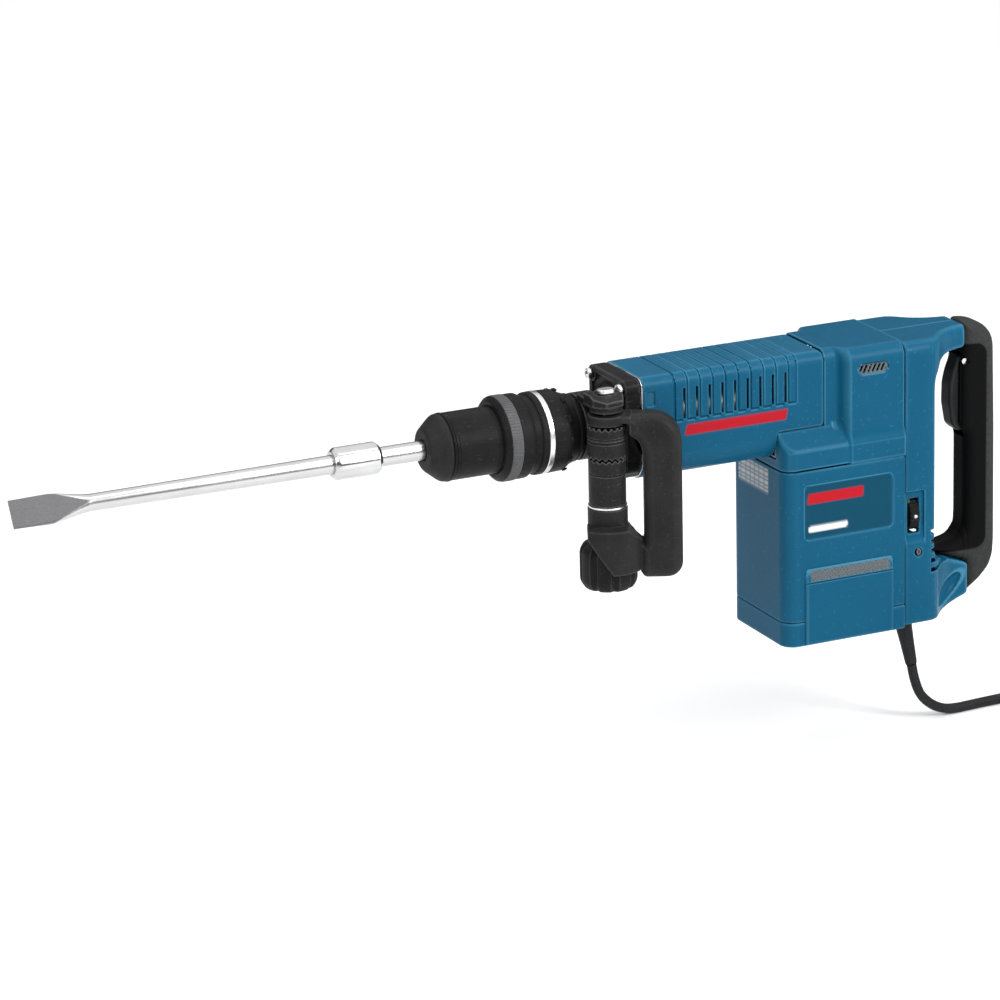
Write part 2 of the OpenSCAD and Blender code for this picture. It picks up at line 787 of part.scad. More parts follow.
dial_x = rear_x + 14;
dial_z = -122;
rear_pins = [[rear_x + 19, -160], [rear_x + 19, 10], [rear_x + 19, -60]];

module rear_housing() {
    difference() {
        rear_shape(0);
        intersection() {
            rear_shape(shell);
            block(rear_x - 1, wall_x + 60, -60, 60, -300, 60);
        }
        block(rear_x - 1, rear_x + 5, -30, 30, -198, -68);
        block(dial_x - 9, dial_x + 11, -rear_hw - 5, -rear_hw + 2.2, -150, -97);
        block(dial_x - 6, dial_x + 6, -rear_hw - 5, -20, dial_z - 17, dial_z + 17);
        for (i = [0 : 4]) block(wall_x - 2, wall_x + 9, -70, 70, -143 - i * 9, -139 - i * 9);
        post(boot_x, 0, foot_z - 10, foot_z + 30, 10.5);
    }
    for (p = rear_pins)
        translate([p[0], rear_hw - shell + 0.3, p[1]]) rotate([90, 0, 0])
            cylinder(r = 4.6, h = 2 * (rear_hw - shell + 0.3));
}

module rear_half(s) {
    color("steelblue") difference() {
        intersection() {
            rear_housing();
            block(rear_x - 10, wall_x + 120, s < 0 ? -90 : 0, s < 0 ? 0 : 90, -300, 90);
        }
        for (p = rear_pins)
            translate([p[0], -8, p[1]]) rotate([90, 0, 0]) cylinder(r = 2.5, h = 60);
        for (p = rear_pins)
            translate([p[0], 1, p[1]]) rotate([90, 0, 0]) cylinder(r = 2.5, h = 15);
        for (p = rear_pins)
            translate([p[0], -rear_hw + 4, p[1]]) rotate([90, 0, 0]) cylinder(r = 4, h = 10);
    }
}

module rear_screws() {
    color("silver") for (p = rear_pins)
        translate([p[0], -rear_hw + 4, p[1]]) rotate([90, 0, 0]) {
            translate([0, 0, -rear_hw + 4 - 0.9]) cylinder(r = 2.5, h = rear_hw - 3);
            difference() {
                cylinder(r = 3.9, h = 3);
                translate([0, 0, 1.5]) cylinder(r = 1.8, h = 5, $fn = 6);
            }
        }
}

module rear_strip() {
    color("lightblue") bar(wall_x, wall_x + 5, 26, -73, -2, 3, 3);
}

module grip_outline(d) {
    r_top = 27;
    polygon([
        [arm_x + d, arm_z + d], [arm_x + d, top_z - d],
        for (a = [90 : -15 : 0])
            [grip_back - r_top + (r_top - d) * cos(a), top_z - r_top + (r_top - d) * sin(a)],
        [grip_back - d, -166], [grip_back - 2 - d, -184], [grip_back - 9 - d, -201],
        [low_arm_x + d, foot_z + 10 + d], [low_arm_x + d, low_arm_z - d],
        [grip_front + 3 + d, -178 - d], [grip_front + 1 + d, -170], [grip_front + d, -160],
        [grip_front + d, 6], [grip_front + 3 + d, 16]]);
}

module rear_grip() {
    color("dimgray") difference() {
        union() {
            translate([0, grip_hw, 0]) rotate([90, 0, 0]) linear_extrude(2 * grip_hw)
                grip_outline(3);
            translate([0, grip_hw - 3, 0]) rotate([90, 0, 0]) linear_extrude(2 * grip_hw - 6)
                grip_outline(0);
        }
        block(grip_front - 5, grip_front + 13 + 68 * sin(trigger_turn), -10, 10, -67, 17);
        translate([trigger_x, 20, trigger_z]) rotate([90, 0, 0]) cylinder(r = 3, h = 40);
    }
}

trigger_x = grip_front + 6.5;
trigger_z = 8;
module trigger() {
    color("black") difference() {
        side_profile([
            [trigger_x + 4.5, trigger_z + 4.5], [trigger_x - 4.5, trigger_z + 4.5],
            [grip_front - 5, -2], [grip_front - 8, -14], [grip_front - 8, -34],
            [grip_front - 4, -56], [grip_front + 3, -62], [grip_front + 8, -60],
            [grip_front + 8, -20]], 9.2);
        translate([trigger_x, 20, trigger_z]) rotate([90, 0, 0])
            cylinder(r = 3 + run, h = 40);
    }
}

module trigger_pin() {
    color("silver") translate([trigger_x, grip_hw - 4, trigger_z]) rotate([90, 0, 0])
        cylinder(r = 3, h = 2 * grip_hw - 8);
}

module switch() {
    color("black") block(rear_x + 7.5, wall_x - shell - 1, -22, 22, -54, 2);
}

module speed_dial() {
    color("black") difference() {
        along_x(dial_x - 5) translate([-dial_z, -rear_hw + 14, 0]) {
            cylinder(r = 16, h = 10);
            for (i = [0 : 23]) rotate([0, 0, i * 15]) translate([15.4, -0.8, 1])
                cube([1.2, 1.6, 8]);
        }
        along_x(dial_x - 7) translate([-dial_z, -rear_hw + 14, 0]) cylinder(r = 3, h = 14);
    }
}

module control_board() {
    color("green") {
        block(rear_x + 9, rear_x + 11, -rear_hw + 5, rear_hw - 6, -104, -70);
        along_x(rear_x + 5.5) translate([-dial_z, -rear_hw + 14, 0]) cylinder(r = 3 - run, h = 17);
        block(rear_x + 6, rear_x + 8, -rear_hw + 5, -rear_hw + 22, dial_z - 4, -102);
        block(rear_x + 6, rear_x + 11, -rear_hw + 5, -rear_hw + 22, -104, -100);
    }
}

// ---------------------------------------------------------------- mains lead
module cord_boot() {
    end_r = cord_d / 2 + 0.6;
    color("black") {
        post(boot_x, 0, boot_top, boot_top + 5, 14);
        translate([boot_x, 0, boot_top + 1]) rotate([0, -boot_lean, 0]) rotate([180, 0, 0])
            rotate_extrude() polygon([
                [0, 0], [9, 0], [9, 8], [8.4, 9], [8.4, 18], [end_r + 0.4, boot_l + 1],
                [end_r, boot_l + 4], [0, boot_l + 4]]);
    }
}

sides = 10;
function unit(v) = v / norm(v);
function heading(p, i) = unit(p[min(i + 1, len(p) - 1)] - p[max(i - 1, 0)]);
function blend_point(p, i, t) =
    let (a = p[max(i - 1, 0)], b = p[i], c = p[i + 1], d = p[min(i + 2, len(p) - 1)])
    0.5 * (2 * b + (c - a) * t + (2 * a - 5 * b + 4 * c - d) * t * t
           + (3 * b - a - 3 * c + d) * t * t * t);
function smooth(p) = [
    for (i = [0 : len(p) - 2], t = [0, 0.5]) blend_point(p, i, t), p[len(p) - 1]];

module sweep(path, r) {
    rings = [for (i = [0 : len(path) - 1])
        let (f = heading(path, i), s = unit(cross([0.05, 1, 0.02], f)), u = cross(f, s))
        for (k = [0 : sides - 1])
            path[i] + r * (cos(k * 360 / sides) * s + sin(k * 360 / sides) * u)];
    n = len(path);
    polyhedron(rings, [
        [for (k = [sides - 1 : -1 : 0]) k],
        for (i = [0 : n - 2], k = [0 : sides - 1])
            [i * sides + k, i * sides + (k + 1) % sides,
             (i + 1) * sides + (k + 1) % sides, (i + 1) * sides + k],
        [for (k = [0 : sides - 1]) (n - 1) * sides + k]]);
}

module mains_cord() {
    color("black") {
        sweep(smooth(cord_path), cord_d / 2);
        sweep(cord_tail, cord_d / 2);
    }
}

module cord_coil() {
    color("black") translate(coil_mid) rotate_extrude() translate([coil_r - coil_w / 2, 0])
        polygon([[2, 0], [coil_w - 2, 0], [coil_w, 3], [coil_w, 7],
                 [coil_w / 2 + cord_d / 2, coil_h], [coil_w / 2 - cord_d / 2, coil_h],
                 [0, 7], [0, 3]]);
}

// a strap over the pile of turns, on the side that faces the tool
module cord_tie() {
    band = 1.4;
    color("dimgray") translate(coil_mid + [-coil_r, 0, 0]) translate([0, 6, 0])
        rotate([90, 0, 0]) linear_extrude(12) polygon([
            [-coil_w / 2 - band - gap, 0], [-coil_w / 2 - band - gap, 8],
            [-cord_d / 2 - band, coil_h + band + gap], [cord_d / 2 + band, coil_h + band + gap],
            [coil_w / 2 + band + gap, 8], [coil_w / 2 + band + gap, 0],
            [coil_w / 2 + gap, 0], [coil_w / 2 + gap, 7.6], [cord_d / 2 + gap, coil_h + gap],
            [-cord_d / 2 - gap, coil_h + gap], [-coil_w / 2 - gap, 7.6],
            [-coil_w / 2 - gap, 0]]);
}

pin_gap = 19;                        // distance between the plug's pins
pin_r = 2.4;
tang_r = 2;                          // the part of a pin inside the plug
module plug() {
    color("black") translate(plug_at) difference() {
        union() {
            translate([0, -19, plug_r]) rotate([90, 0, 0]) cylinder(r = plug_r, h = 34);
            translate([0, 16, plug_r]) rotate([90, 0, 0]) cylinder(r1 = 7, r2 = 13, h = 36);
        }
        for (s = [-1, 1]) translate([s * pin_gap / 2, -38, plug_r]) rotate([90, 0, 0])
            cylinder(r = tang_r, h = 20);
    }
}
module plug_pins() {
    color("silver") translate(plug_at) for (s = [-1, 1])
        translate([s * pin_gap / 2, -38, plug_r]) rotate([90, 0, 0]) {
            cylinder(r = tang_r, h = 16);
            translate([0, 0, 15.3]) cylinder(r = pin_r, h = 18.7);
        }
}

seat() chisel();
seat() dust_cap();
seat() cap_ring();
seat() front_sleeve();
seat() tool_holder();
seat() locking_segments();
seat() lock_spring();
seat() locking_sleeve();
seat() sleeve_band();
seat() vario_ring();
seat() vario_band();
seat() front_housing();
seat() flange_screws();
seat() clamp_band();
seat() clamp_plate();
seat() clamp_bolt();
seat() detent_ring();
seat() side_handle();
seat() column_sleeve();
seat() side_washer();
seat() clamp_knob();
seat() cylinder_tube();  // cylinder
seat() beat_piece();
seat() striker();
seat() piston();
seat() piston_pin();
seat() connecting_rod();
seat() gear_case();
seat() crank_gear();
seat() crankshaft();
seat() crank_bearing();
seat() pinion();
seat() armature();
seat() fan();
seat() stator();
seat() ball_bearing(-59, -50, 13, 5 + run);  // upper_motor_bearing
seat() ball_bearing(-208, -198, 11, 5 + run);  // lower_motor_bearing
seat() carbon_brushes();
seat() barrel_cover();
seat() upper_housing();
seat() motor_housing();
seat() bottom_cap();
seat() brush_covers();
seat() rear_half(-1);  // rear_housing_left
seat() rear_half(1);  // rear_housing_right
seat() rear_screws();
seat() rear_strip();
seat() rear_grip();
seat() trigger();
seat() trigger_pin();
seat() switch();
seat() speed_dial();
seat() control_board();
seat() cord_boot();
seat() mains_cord();
seat() cord_coil();
seat() cord_tie();
seat() plug();
seat() plug_pins();
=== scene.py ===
"""Electric demolition hammer: the looks of every piece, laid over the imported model.

Lengths inside the sections are in millimetres. X runs back from the front of the barrel, Z is
measured from the impact axis, and -Y is the nameplate side. metres() takes them to the model.
"""
import math

import bpy
import numpy as np
from mathutils import Matrix, Vector


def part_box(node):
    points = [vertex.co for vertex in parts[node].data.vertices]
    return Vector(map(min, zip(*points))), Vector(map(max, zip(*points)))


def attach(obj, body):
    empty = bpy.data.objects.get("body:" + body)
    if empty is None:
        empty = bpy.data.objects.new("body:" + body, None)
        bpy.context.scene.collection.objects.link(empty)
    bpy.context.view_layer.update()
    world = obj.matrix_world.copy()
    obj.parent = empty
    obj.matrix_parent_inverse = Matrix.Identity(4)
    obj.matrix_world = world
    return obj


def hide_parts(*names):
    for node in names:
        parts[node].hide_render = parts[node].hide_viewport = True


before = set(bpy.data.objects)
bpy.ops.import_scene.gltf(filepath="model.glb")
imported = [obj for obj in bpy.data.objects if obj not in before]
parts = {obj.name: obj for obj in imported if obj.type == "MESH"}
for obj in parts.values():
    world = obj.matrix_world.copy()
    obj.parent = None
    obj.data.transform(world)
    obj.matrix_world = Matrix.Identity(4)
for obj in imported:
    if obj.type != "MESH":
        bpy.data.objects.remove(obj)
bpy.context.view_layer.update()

# ---------------------------------------------------------------- studio
# A pale laminate floor under large soft lights. The camera stands far back with a long lens, a
# little above the barrel and in front of the nameplate side.
barrel_front, cylinder_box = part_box("barrel_cover")[0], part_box("cylinder")
barrel_origin = np.array([barrel_front.x, 0, (cylinder_box[0].z + cylinder_box[1].z) / 2]) * 1000


def metres(points):
    return (np.asarray(points, float) + barrel_origin) / 1000


class Wire:
    """A shader value that takes part in arithmetic; every operator adds a Math node."""

    def __init__(self, finish, socket):
        self.finish, self.socket = finish, socket

    def math(self, operation, *values):
        return self.finish.node("Math", dict(enumerate(values)), operation=operation)

    def __add__(self, other):
        return self.math("ADD", self, other)

    def __sub__(self, other):
        return self.math("SUBTRACT", self, other)

    def __rsub__(self, other):
        return self.math("SUBTRACT", other, self)

    def __mul__(self, other):
        return self.math("MULTIPLY", self, other)

    def __gt__(self, other):
        return self.math("GREATER_THAN", self, other)

    def clamp(self, low=0.0, high=1.0):
        return self.math("MINIMUM", self.math("MAXIMUM", self, low), high)

    __radd__, __rmul__ = __add__, __mul__


class Finish:
    """One material. Numbers that hold all over it go straight on the shader's own sockets."""

    def __init__(self, name, **fixed):
        self.material = bpy.data.materials.new(name)
        self.material.use_nodes = True
        self.tree = self.material.node_tree
        self.shader = self.tree.nodes["Principled BSDF"]
        for socket, value in fixed.items():
            self.shader.inputs[socket.replace("_", " ")].default_value = value
        self.place = self.node("TexCoord", out="Object")

    def plug(self, socket, value):
        if isinstance(value, Wire):
            self.tree.links.new(value.socket, socket)
        else:
            socket.default_value = value

    def node(self, kind, ins=None, out=0, stops=None, **settings):
        made = self.tree.nodes.new("ShaderNode" + kind)
        for key, value in settings.items():
            setattr(made, key, value)
        for spot, shade in stops or ():
            made.color_ramp.elements.new(spot).color = (shade, shade, shade, 1)
        for key, value in (ins or {}).items():
            self.plug(made.inputs[key], value)
        return Wire(self, made.outputs[out])

    def noise(self, per_metre, detail=2.0, stretch=(1, 1, 1), out=0):
        where = self.node("Mapping", {"Vector": self.place, "Scale": stretch})
        return self.node("TexNoise", {"Vector": where, "Scale": per_metre, "Detail": detail},
                         out=out)

    def attribute(self, name):
        return self.node("Attribute", out="Fac", attribute_name=name)

    def mix(self, amount, first, second):
        return self.node("Mix", {0: amount, 6: first, 7: second}, out=2, data_type="RGBA")

    def surface(self, colour, roughness, height, depth_mm):
        self.plug(self.shader.inputs["Base Color"], colour)
        self.plug(self.shader.inputs["Roughness"], roughness)
        bump = self.node("Bump", {"Height": height, "Distance": depth_mm / 1000})
        self.plug(self.shader.inputs["Normal"], bump)
        return self.material


def rgba(red, green, blue):
    return (red, green, blue, 1)


def inked(field, edge=1.0):
    """One inside a field and nought outside it, fading over the edge's width."""
    return np.clip(0.5 - field / edge, 0, 1)


def floor_sheet():
    finish = Finish("pale_laminate", Specular_IOR_Level=0.1)
    tone = finish.mix(finish.noise(3, 3), rgba(0.93, 0.93, 0.93), rgba(0.97, 0.97, 0.97))
    paint = finish.surface(tone, 0.6 + finish.noise(40) * 0.2, finish.noise(900), 0.02)
    cord_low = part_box("cord_coil")[0].z
    mesh = bpy.data.meshes.new("studio_floor")
    mesh.from_pydata([(x, y, cord_low) for x, y in ((-30, -30), (30, -30), (30, 60), (-30, 60))],
                     [], [(0, 1, 2, 3)])
    mesh.materials.append(paint)
    floor = bpy.data.objects.new("studio_floor", mesh)
    bpy.context.collection.objects.link(floor)


floor_sheet()

view_azimuth, view_height, view_roll = np.radians([-24.703, 17.532, -1.373])
view_back = np.array([math.sin(view_azimuth) * math.cos(view_height),
                      -math.cos(view_azimuth) * math.cos(view_height), math.sin(view_height)])
level_right = np.array([math.cos(view_azimuth), math.sin(view_azimuth), 0])
level_up = np.cross(view_back, level_right)
view_right = level_right * math.cos(view_roll) + level_up * math.sin(view_roll)
view_up = level_up * math.cos(view_roll) - level_right * math.sin(view_roll)
camera_spot = metres(4422.4 * view_back - 113.25 * view_right - 74.3 * view_up)
camera = bpy.data.objects.new("camera", bpy.data.cameras.new("camera"))
camera.data.sensor_width, camera.data.lens = 36, 174.63
camera.data.clip_end = 60
turn = np.column_stack([view_right, view_up, view_back])
camera.matrix_world = Matrix.Translation(Vector(camera_spot)) @ Matrix(turn).to_4x4()
bpy.context.collection.objects.link(camera)
bpy.context.scene.camera = camera


def soft_light(name, aim, azimuth, height, distance, size, watts):
    a, h = math.radians(azimuth), math.radians(height)
    back = Vector((math.sin(a) * math.cos(h), -math.cos(a) * math.cos(h), math.sin(h)))
    lamp = bpy.data.objects.new(name, bpy.data.lights.new(name, "AREA"))
    lamp.data.shape, lamp.data.size, lamp.data.size_y = "RECTANGLE", size[0], size[1]
    lamp.data.energy = watts
    lamp.location = Vector(aim) + back * distance
    lamp.rotation_mode = "QUATERNION"
    lamp.rotation_quaternion = back.to_track_quat("Z", "Y")
    bpy.context.collection.objects.link(lamp)


middle = metres([40, 0, -60])
soft_light("overhead_box", middle, -10, 78, 1.7, (1.6, 0.5), 7)
soft_light("side_box", middle, 30, 30, 2.3, (0.7, 1.1), 38)
soft_light("front_strip", middle, -72, 24, 2.0, (0.3, 1.2), 8)
world = bpy.data.worlds.new("white_room")
world.use_nodes = True
nodes, links = world.node_tree.nodes, world.node_tree.links
heading, parted = nodes.new("ShaderNodeTexCoord"), nodes.new("ShaderNodeSeparateXYZ")
walls = nodes.new("ShaderNodeValToRGB")
for spot, shade in ((0.42, 0.35), (0.52, 0.07), (0.66, 0.09), (0.8, 0.9), (0.95, 1.0)):
    walls.color_ramp.elements.new(spot).color = rgba(shade, shade, shade)
span = nodes.new("ShaderNodeMapRange")
span.inputs["From Min"].default_value = -1
links.new(heading.outputs["Generated"], parted.inputs[0])
links.new(parted.outputs["Z"], span.inputs["Value"])
links.new(span.outputs["Result"], walls.inputs["Fac"])
links.new(walls.outputs["Color"], nodes["Background"].inputs["Color"])
nodes["Background"].inputs["Strength"].default_value = 1.35
bpy.context.scene.world = world
bpy.context.scene.view_settings.view_transform = "Standard"

# ---------------------------------------------------------------- mains cord
# Two core heavy rubber cable, extruded round with a satin sheath. It hangs out of its boot, turns
# on to the floor, and its spare length lies in a tied coil of ten turns with the plug beside it.
cord_thick = 9.5
floor_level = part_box("cord_coil")[0].z * 1000 - barrel_origin[2]
boot_pivot, boot_lean, boot_run = np.array([288, 0, -226]), math.radians(12), 64
boot_end = boot_pivot + boot_run * np.array([math.sin(boot_lean), 0, -math.cos(boot_lean)])
lying = floor_level + cord_thick / 2
cord_drop = [boot_end, (304.5, 0, -303.5), (310, 0, -318.5), (318, 1, -328.5),
             (328.5, 2, -336.5), (340.5, 3, -341.5), (353.5, 3.5, lying), (366, 4, lying),
             (380, 5, lying), (400, 6, lying), (420, 7, lying), (440, 8, lying),
             (458, 9, lying), (476, 9.25, lying)]
coil_middle = np.array([476, -62, 0])
turn_radii = [(71.25, 0), (61.75, 0), (52.25, 0), (42.75, 0), (47.5, 1), (57, 1), (66.5, 1),
              (61.75, 2), (52.25, 2), (57, 3)]
row_rise = 8.23


def coil_points():
    """The turns run clockwise from the north side, and each slides over to the next."""
    points = []
    for i, (radius, row) in enumerate(turn_radii):
        was_radius, was_row = turn_radii[max(i - 1, 0)]
        for step in range(24 if i < len(turn_radii) - 1 else 21):
            share = min(1, step / 7)
            share = share * share * (3 - 2 * share)
            r = was_radius + (radius - was_radius) * share
            z = lying + row_rise * (was_row + (row - was_row) * share)
            a = math.radians(90 - 15 * step)
            points.append((coil_middle[0] + r * math.cos(a), coil_middle[1] + r * math.sin(a), z))
    return points[1:]


plug_spot = np.array([559, -138, floor_level + 19])
# the last turn comes down over the outside of the pile: angle, radius and height of its centre
slide_down = [(120, 57, 24.7), (100, 57.5, 24.6), (80, 59, 24), (60, 62, 22.5), (40, 66.5, 19.5),
              (22, 71, 16), (6, 75.5, 13.6)]
lead_off = [(coil_middle[0] + r * math.cos(math.radians(a)),
             coil_middle[1] + r * math.sin(math.radians(a)), lying + rise)
            for a, r, rise in slide_down]
lead_off += [(554, -74, lying + 12.6), (556.5, -90, lying + 13), (558.5, -106, lying + 13.8),
             plug_spot + [0, 16, 0]]


def smooth_run(points, parts_each):
    """A curve through all the points, with evenly shared steps between them."""
    points = np.asarray(points, float)
    padded = np.vstack([2 * points[0] - points[1], points, 2 * points[-1] - points[-2]])
    run = []
    for a, b, c, d in zip(padded, padded[1:], padded[2:], padded[3:]):
        for t in np.arange(parts_each) / parts_each:
            run.append(0.5 * (2 * b + (c - a) * t + (2 * a - 5 * b + 4 * c - d) * t * t
                              + (3 * b - a - 3 * c + d) * t ** 3))
    return np.array(run + [points[-1]])


cord_line = metres(smooth_run(cord_drop + coil_points() + lead_off, 3))
sheath = Finish("cable_sheath", Specular_IOR_Level=0.12)
sheath_tone = sheath.mix(sheath.noise(35, 3), rgba(0.010, 0.010, 0.011), rgba(0.022, 0.022, 0.023))
scuffs = sheath.noise(260, 4, (1, 6, 6)) > 0.63
sheath.surface(sheath.mix(scuffs * 0.5, sheath_tone, rgba(0.06, 0.06, 0.06)),
               0.42 + sheath.noise(120) * 0.2, sheath.noise(1800, 3), 0.05)
cord_curve = bpy.data.curves.new("cord", "CURVE")
cord_curve.dimensions, cord_curve.bevel_depth = "3D", cord_thick / 2000
cord_curve.bevel_resolution, cord_curve.use_fill_caps = 4, True
spline = cord_curve.splines.new("POLY")
spline.points.add(len(cord_line) - 1)
spline.points.foreach_set("co", np.column_stack([cord_line, np.ones(len(cord_line))]).ravel())
spline.use_smooth = True
cord_curve.materials.append(sheath.material)
cord = bpy.data.objects.new("mains_cable", cord_curve)
bpy.context.collection.objects.link(cord)
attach(cord, "housing")
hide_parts("mains_cord", "cord_coil")

# ---------------------------------------------------------------- chisel
# Flat chisel forged from one bar of alloy steel. The shank is ground bright, the blade is drawn
# out flat and shot blasted, and an eight sided collar sits on the shank.
def slab(value, low, high):
    return np.abs(value - (low + high) / 2) - (high - low) / 2


def both(first, second, fillet=0.0):
    """What two fields share, with a fillet along the edge where they meet."""
    if np.ndim(fillet) == 0 and not fillet:
        return np.maximum(first, second)
    corner = np.hypot(np.maximum(first + fillet, 0), np.maximum(second + fillet, 0))
    return np.minimum(-fillet, np.maximum(first, second)) + corner


def join(first, second, fillet=0.0):
    return -both(-first, -second, fillet)


def cut(first, second, fillet=0.0):
    return both(first, -second, fillet)


def box_field(p, low, high, fillet=0.0):
    field = both(slab(p[0], low[0], high[0]), slab(p[1], low[1], high[1]), fillet)
    return both(field, slab(p[2], low[2], high[2]), fillet)


def round_box(first, second, half_first, half_second, radius):
    """The field of a rounded rectangle across two directions, centred on nought."""
    over = np.abs(first) - half_first + radius, np.abs(second) - half_second + radius
    outside = np.hypot(np.maximum(over[0], 0), np.maximum(over[1], 0))
    return outside + np.minimum(np.maximum(*over), 0) - radius


def net(field, low, high, step, stations=()):
    """Covers the nought level of a field with a closed net of quads. Stations are extra cuts
    along the impact axis, for slots and grooves finer than the step."""
    axes = [np.arange(a - 1.5 * s, b + 2.5 * s, s)
            for a, b, s in zip(low, high, np.broadcast_to(step, 3))]
    if len(stations):
        far = np.abs(axes[0][:, None] - np.asarray(stations)[None, :]).min(axis=1) > 0.5
        axes[0] = np.unique(np.concatenate([axes[0][far], stations]))
    values = field(np.meshgrid(*axes, indexing="ij", sparse=True))
    values = np.broadcast_to(values, [len(a) for a in axes])
    inside = values < 0
    corners = [(i, j, k) for i in (0, 1) for j in (0, 1) for k in (0, 1)]
    cells = tuple(n - 1 for n in inside.shape)
    count = sum(inside[i:i + cells[0], j:j + cells[1], k:k + cells[2]].astype(np.int8)
                for i, j, k in corners)
    where = np.nonzero((count > 0) & (count < 8))
    total, crossings = np.zeros((len(where[0]), 3)), np.zeros(len(where[0]))
    for start in corners:
        for way in range(3):
            if start[way]:
                continue
            end = [c + (way == n) for n, c in enumerate(start)]
            first = values[tuple(w + c for w, c in zip(where, start))]
            last = values[tuple(w + c for w, c in zip(where, end))]
            crosses = (first < 0) != (last < 0)
            share = np.where(crosses, first / np.where(crosses, first - last, 1), 0)
            for n in range(3):
                near, far = axes[n][where[n] + start[n]], axes[n][where[n] + end[n]]
                total[:, n] += crosses * (near + share * (far - near))
            crossings += crosses
    number = np.full(cells, -1)
    number[where] = np.arange(len(where[0]))
    faces = []
    for way in range(3):
        a, b = (way + 1) % 3, (way + 2) % 3
        lower = [slice(1, n - 1) for n in inside.shape]
        upper = list(lower)
        lower[way], upper[way] = slice(0, -1), slice(1, None)
        first, last = inside[tuple(lower)], inside[tuple(upper)]
        for flip in (False, True):
            spot = np.nonzero((first != last) & (first != flip))
            spot = [s + (n != way) for n, s in enumerate(spot)]
            ring = []
            for da, db in ((-1, -1), (0, -1), (0, 0), (-1, 0)):
                cell = list(spot)
                cell[a], cell[b] = spot[a] + da, spot[b] + db
                ring.append(number[tuple(cell)])
            faces.append(np.column_stack(ring[::-1] if flip else ring))
    return total / crossings[:, None], np.vstack(faces)


def slope(field, points, reach):
    steps = np.eye(3) * reach
    return np.column_stack([field((points + s).T) - field((points - s).T) for s in steps])


def new_piece(name, points, faces, paint, normals=None, **traits):
    """A mesh object at the origin from points in millimetres. A trait is a number per point."""
    mesh = bpy.data.meshes.new(name)
    if isinstance(faces, np.ndarray):
        mesh.vertices.add(len(points))
        mesh.vertices.foreach_set("co", metres(points).ravel())
        mesh.loops.add(faces.size)
        mesh.loops.foreach_set("vertex_index", faces.ravel())
        mesh.polygons.add(len(faces))
        mesh.polygons.foreach_set("loop_start", np.arange(len(faces)) * faces.shape[1])
        mesh.update(calc_edges=True)
    else:
        mesh.from_pydata(metres(points).tolist(), [], faces)
    mesh.shade_smooth()
    for trait, numbers in traits.items():
        kept = mesh.attributes.new(trait, "FLOAT", "POINT")
        kept.data.foreach_set("value", np.ascontiguousarray(numbers, np.float32))
    mesh.materials.append(paint)
    if normals is not None:
        mesh.normals_split_custom_set_from_vertices(normals.tolist())
    piece = bpy.data.objects.new(name, mesh)
    bpy.context.collection.objects.link(piece)
    return piece


def moulded(name, field, low, high, step, paint, stations=(), **traits):
    """A piece whose surface is where a field is nought. Its rim trait is high on outer edges."""
    points, faces = net(field, low, high, step, stations)
    size = float(np.min(step))
    for _ in range(3):
        value, fall = field(points.T), slope(field, points, 0.05) / 0.1
        pull = value / np.maximum((fall ** 2).sum(axis=1), 0.2)
        points = points - np.clip(pull, -size / 2, size / 2)[:, None] * fall
    normals = slope(field, points, 0.3)
    normals /= np.maximum(np.linalg.norm(normals, axis=1), 1e-9)[:, None]
    around = sum(field((points + way).T) for way in np.vstack([np.eye(3), -np.eye(3)]))
    traits = {trait: rule(points.T) for trait, rule in traits.items()}
    return new_piece(name, points, faces, paint, normals, rim=np.clip(around / 1.2, 0, 1),
                     **traits)


def fit(piece, body, slot, *nodes):
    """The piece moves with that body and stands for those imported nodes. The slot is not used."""
    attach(piece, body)
    if nodes:
        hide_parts(*nodes)


blade_tip, blade_turn = -592, math.radians(-30)
blade_half, shank_front_r, shank_rear_r, shank_end = 13, 7.7, 9.0, -110


def chisel_frame(p):
    """Lengths along the bar, across the blade and through it."""
    across = -p[1] * math.sin(blade_turn) + p[2] * math.cos(blade_turn)
    through = p[1] * math.cos(blade_turn) + p[2] * math.sin(blade_turn)
    return p[0], across, through


def shank_radius(x):
    return shank_front_r + (shank_rear_r - shank_front_r) * np.clip((x + 520) / 300, 0, 1)


def chisel_field(p):
    along, across, through = chisel_frame(p)
    back = along - blade_tip
    drawn = np.clip((76 - back) / 44, 0, 1)
    drawn = drawn * drawn * (3 - 2 * drawn)
    r = shank_radius(along)
    wide = r + (blade_half - r) * drawn
    thick = np.minimum(r, 0.7 + 0.1 * np.maximum(back, 0))
    corner = np.minimum(r * (1 - drawn) + 1.2 * drawn, thick - 0.02)
    bar = round_box(across, through, wide, thick, corner)
    bar = both(bar, slab(along, blade_tip, shank_end), 0.4)
    for side in (-1, 1):
        lock = box_field((along, across, through * side), (-152, -4.5, r + 2 - 4),
                         (-126, 4.5, r + 6), 1)
        guide = box_field((along, across * side, through), (-160, r - 2, -2.5),
                          (-100, r + 8, 2.5), 0.6)
        bar = cut(cut(bar, lock, 0.5), guide, 0.5)
    return bar


def flat_amount(p):
    along, across, through = chisel_frame(p)
    back = along - blade_tip
    wedge = np.clip((73 - back) / 36, 0, 1) * (blade_half + 1)
    return np.clip((wedge - np.abs(across)) / 0.8, 0, 1) * (np.abs(through) > 0.4)


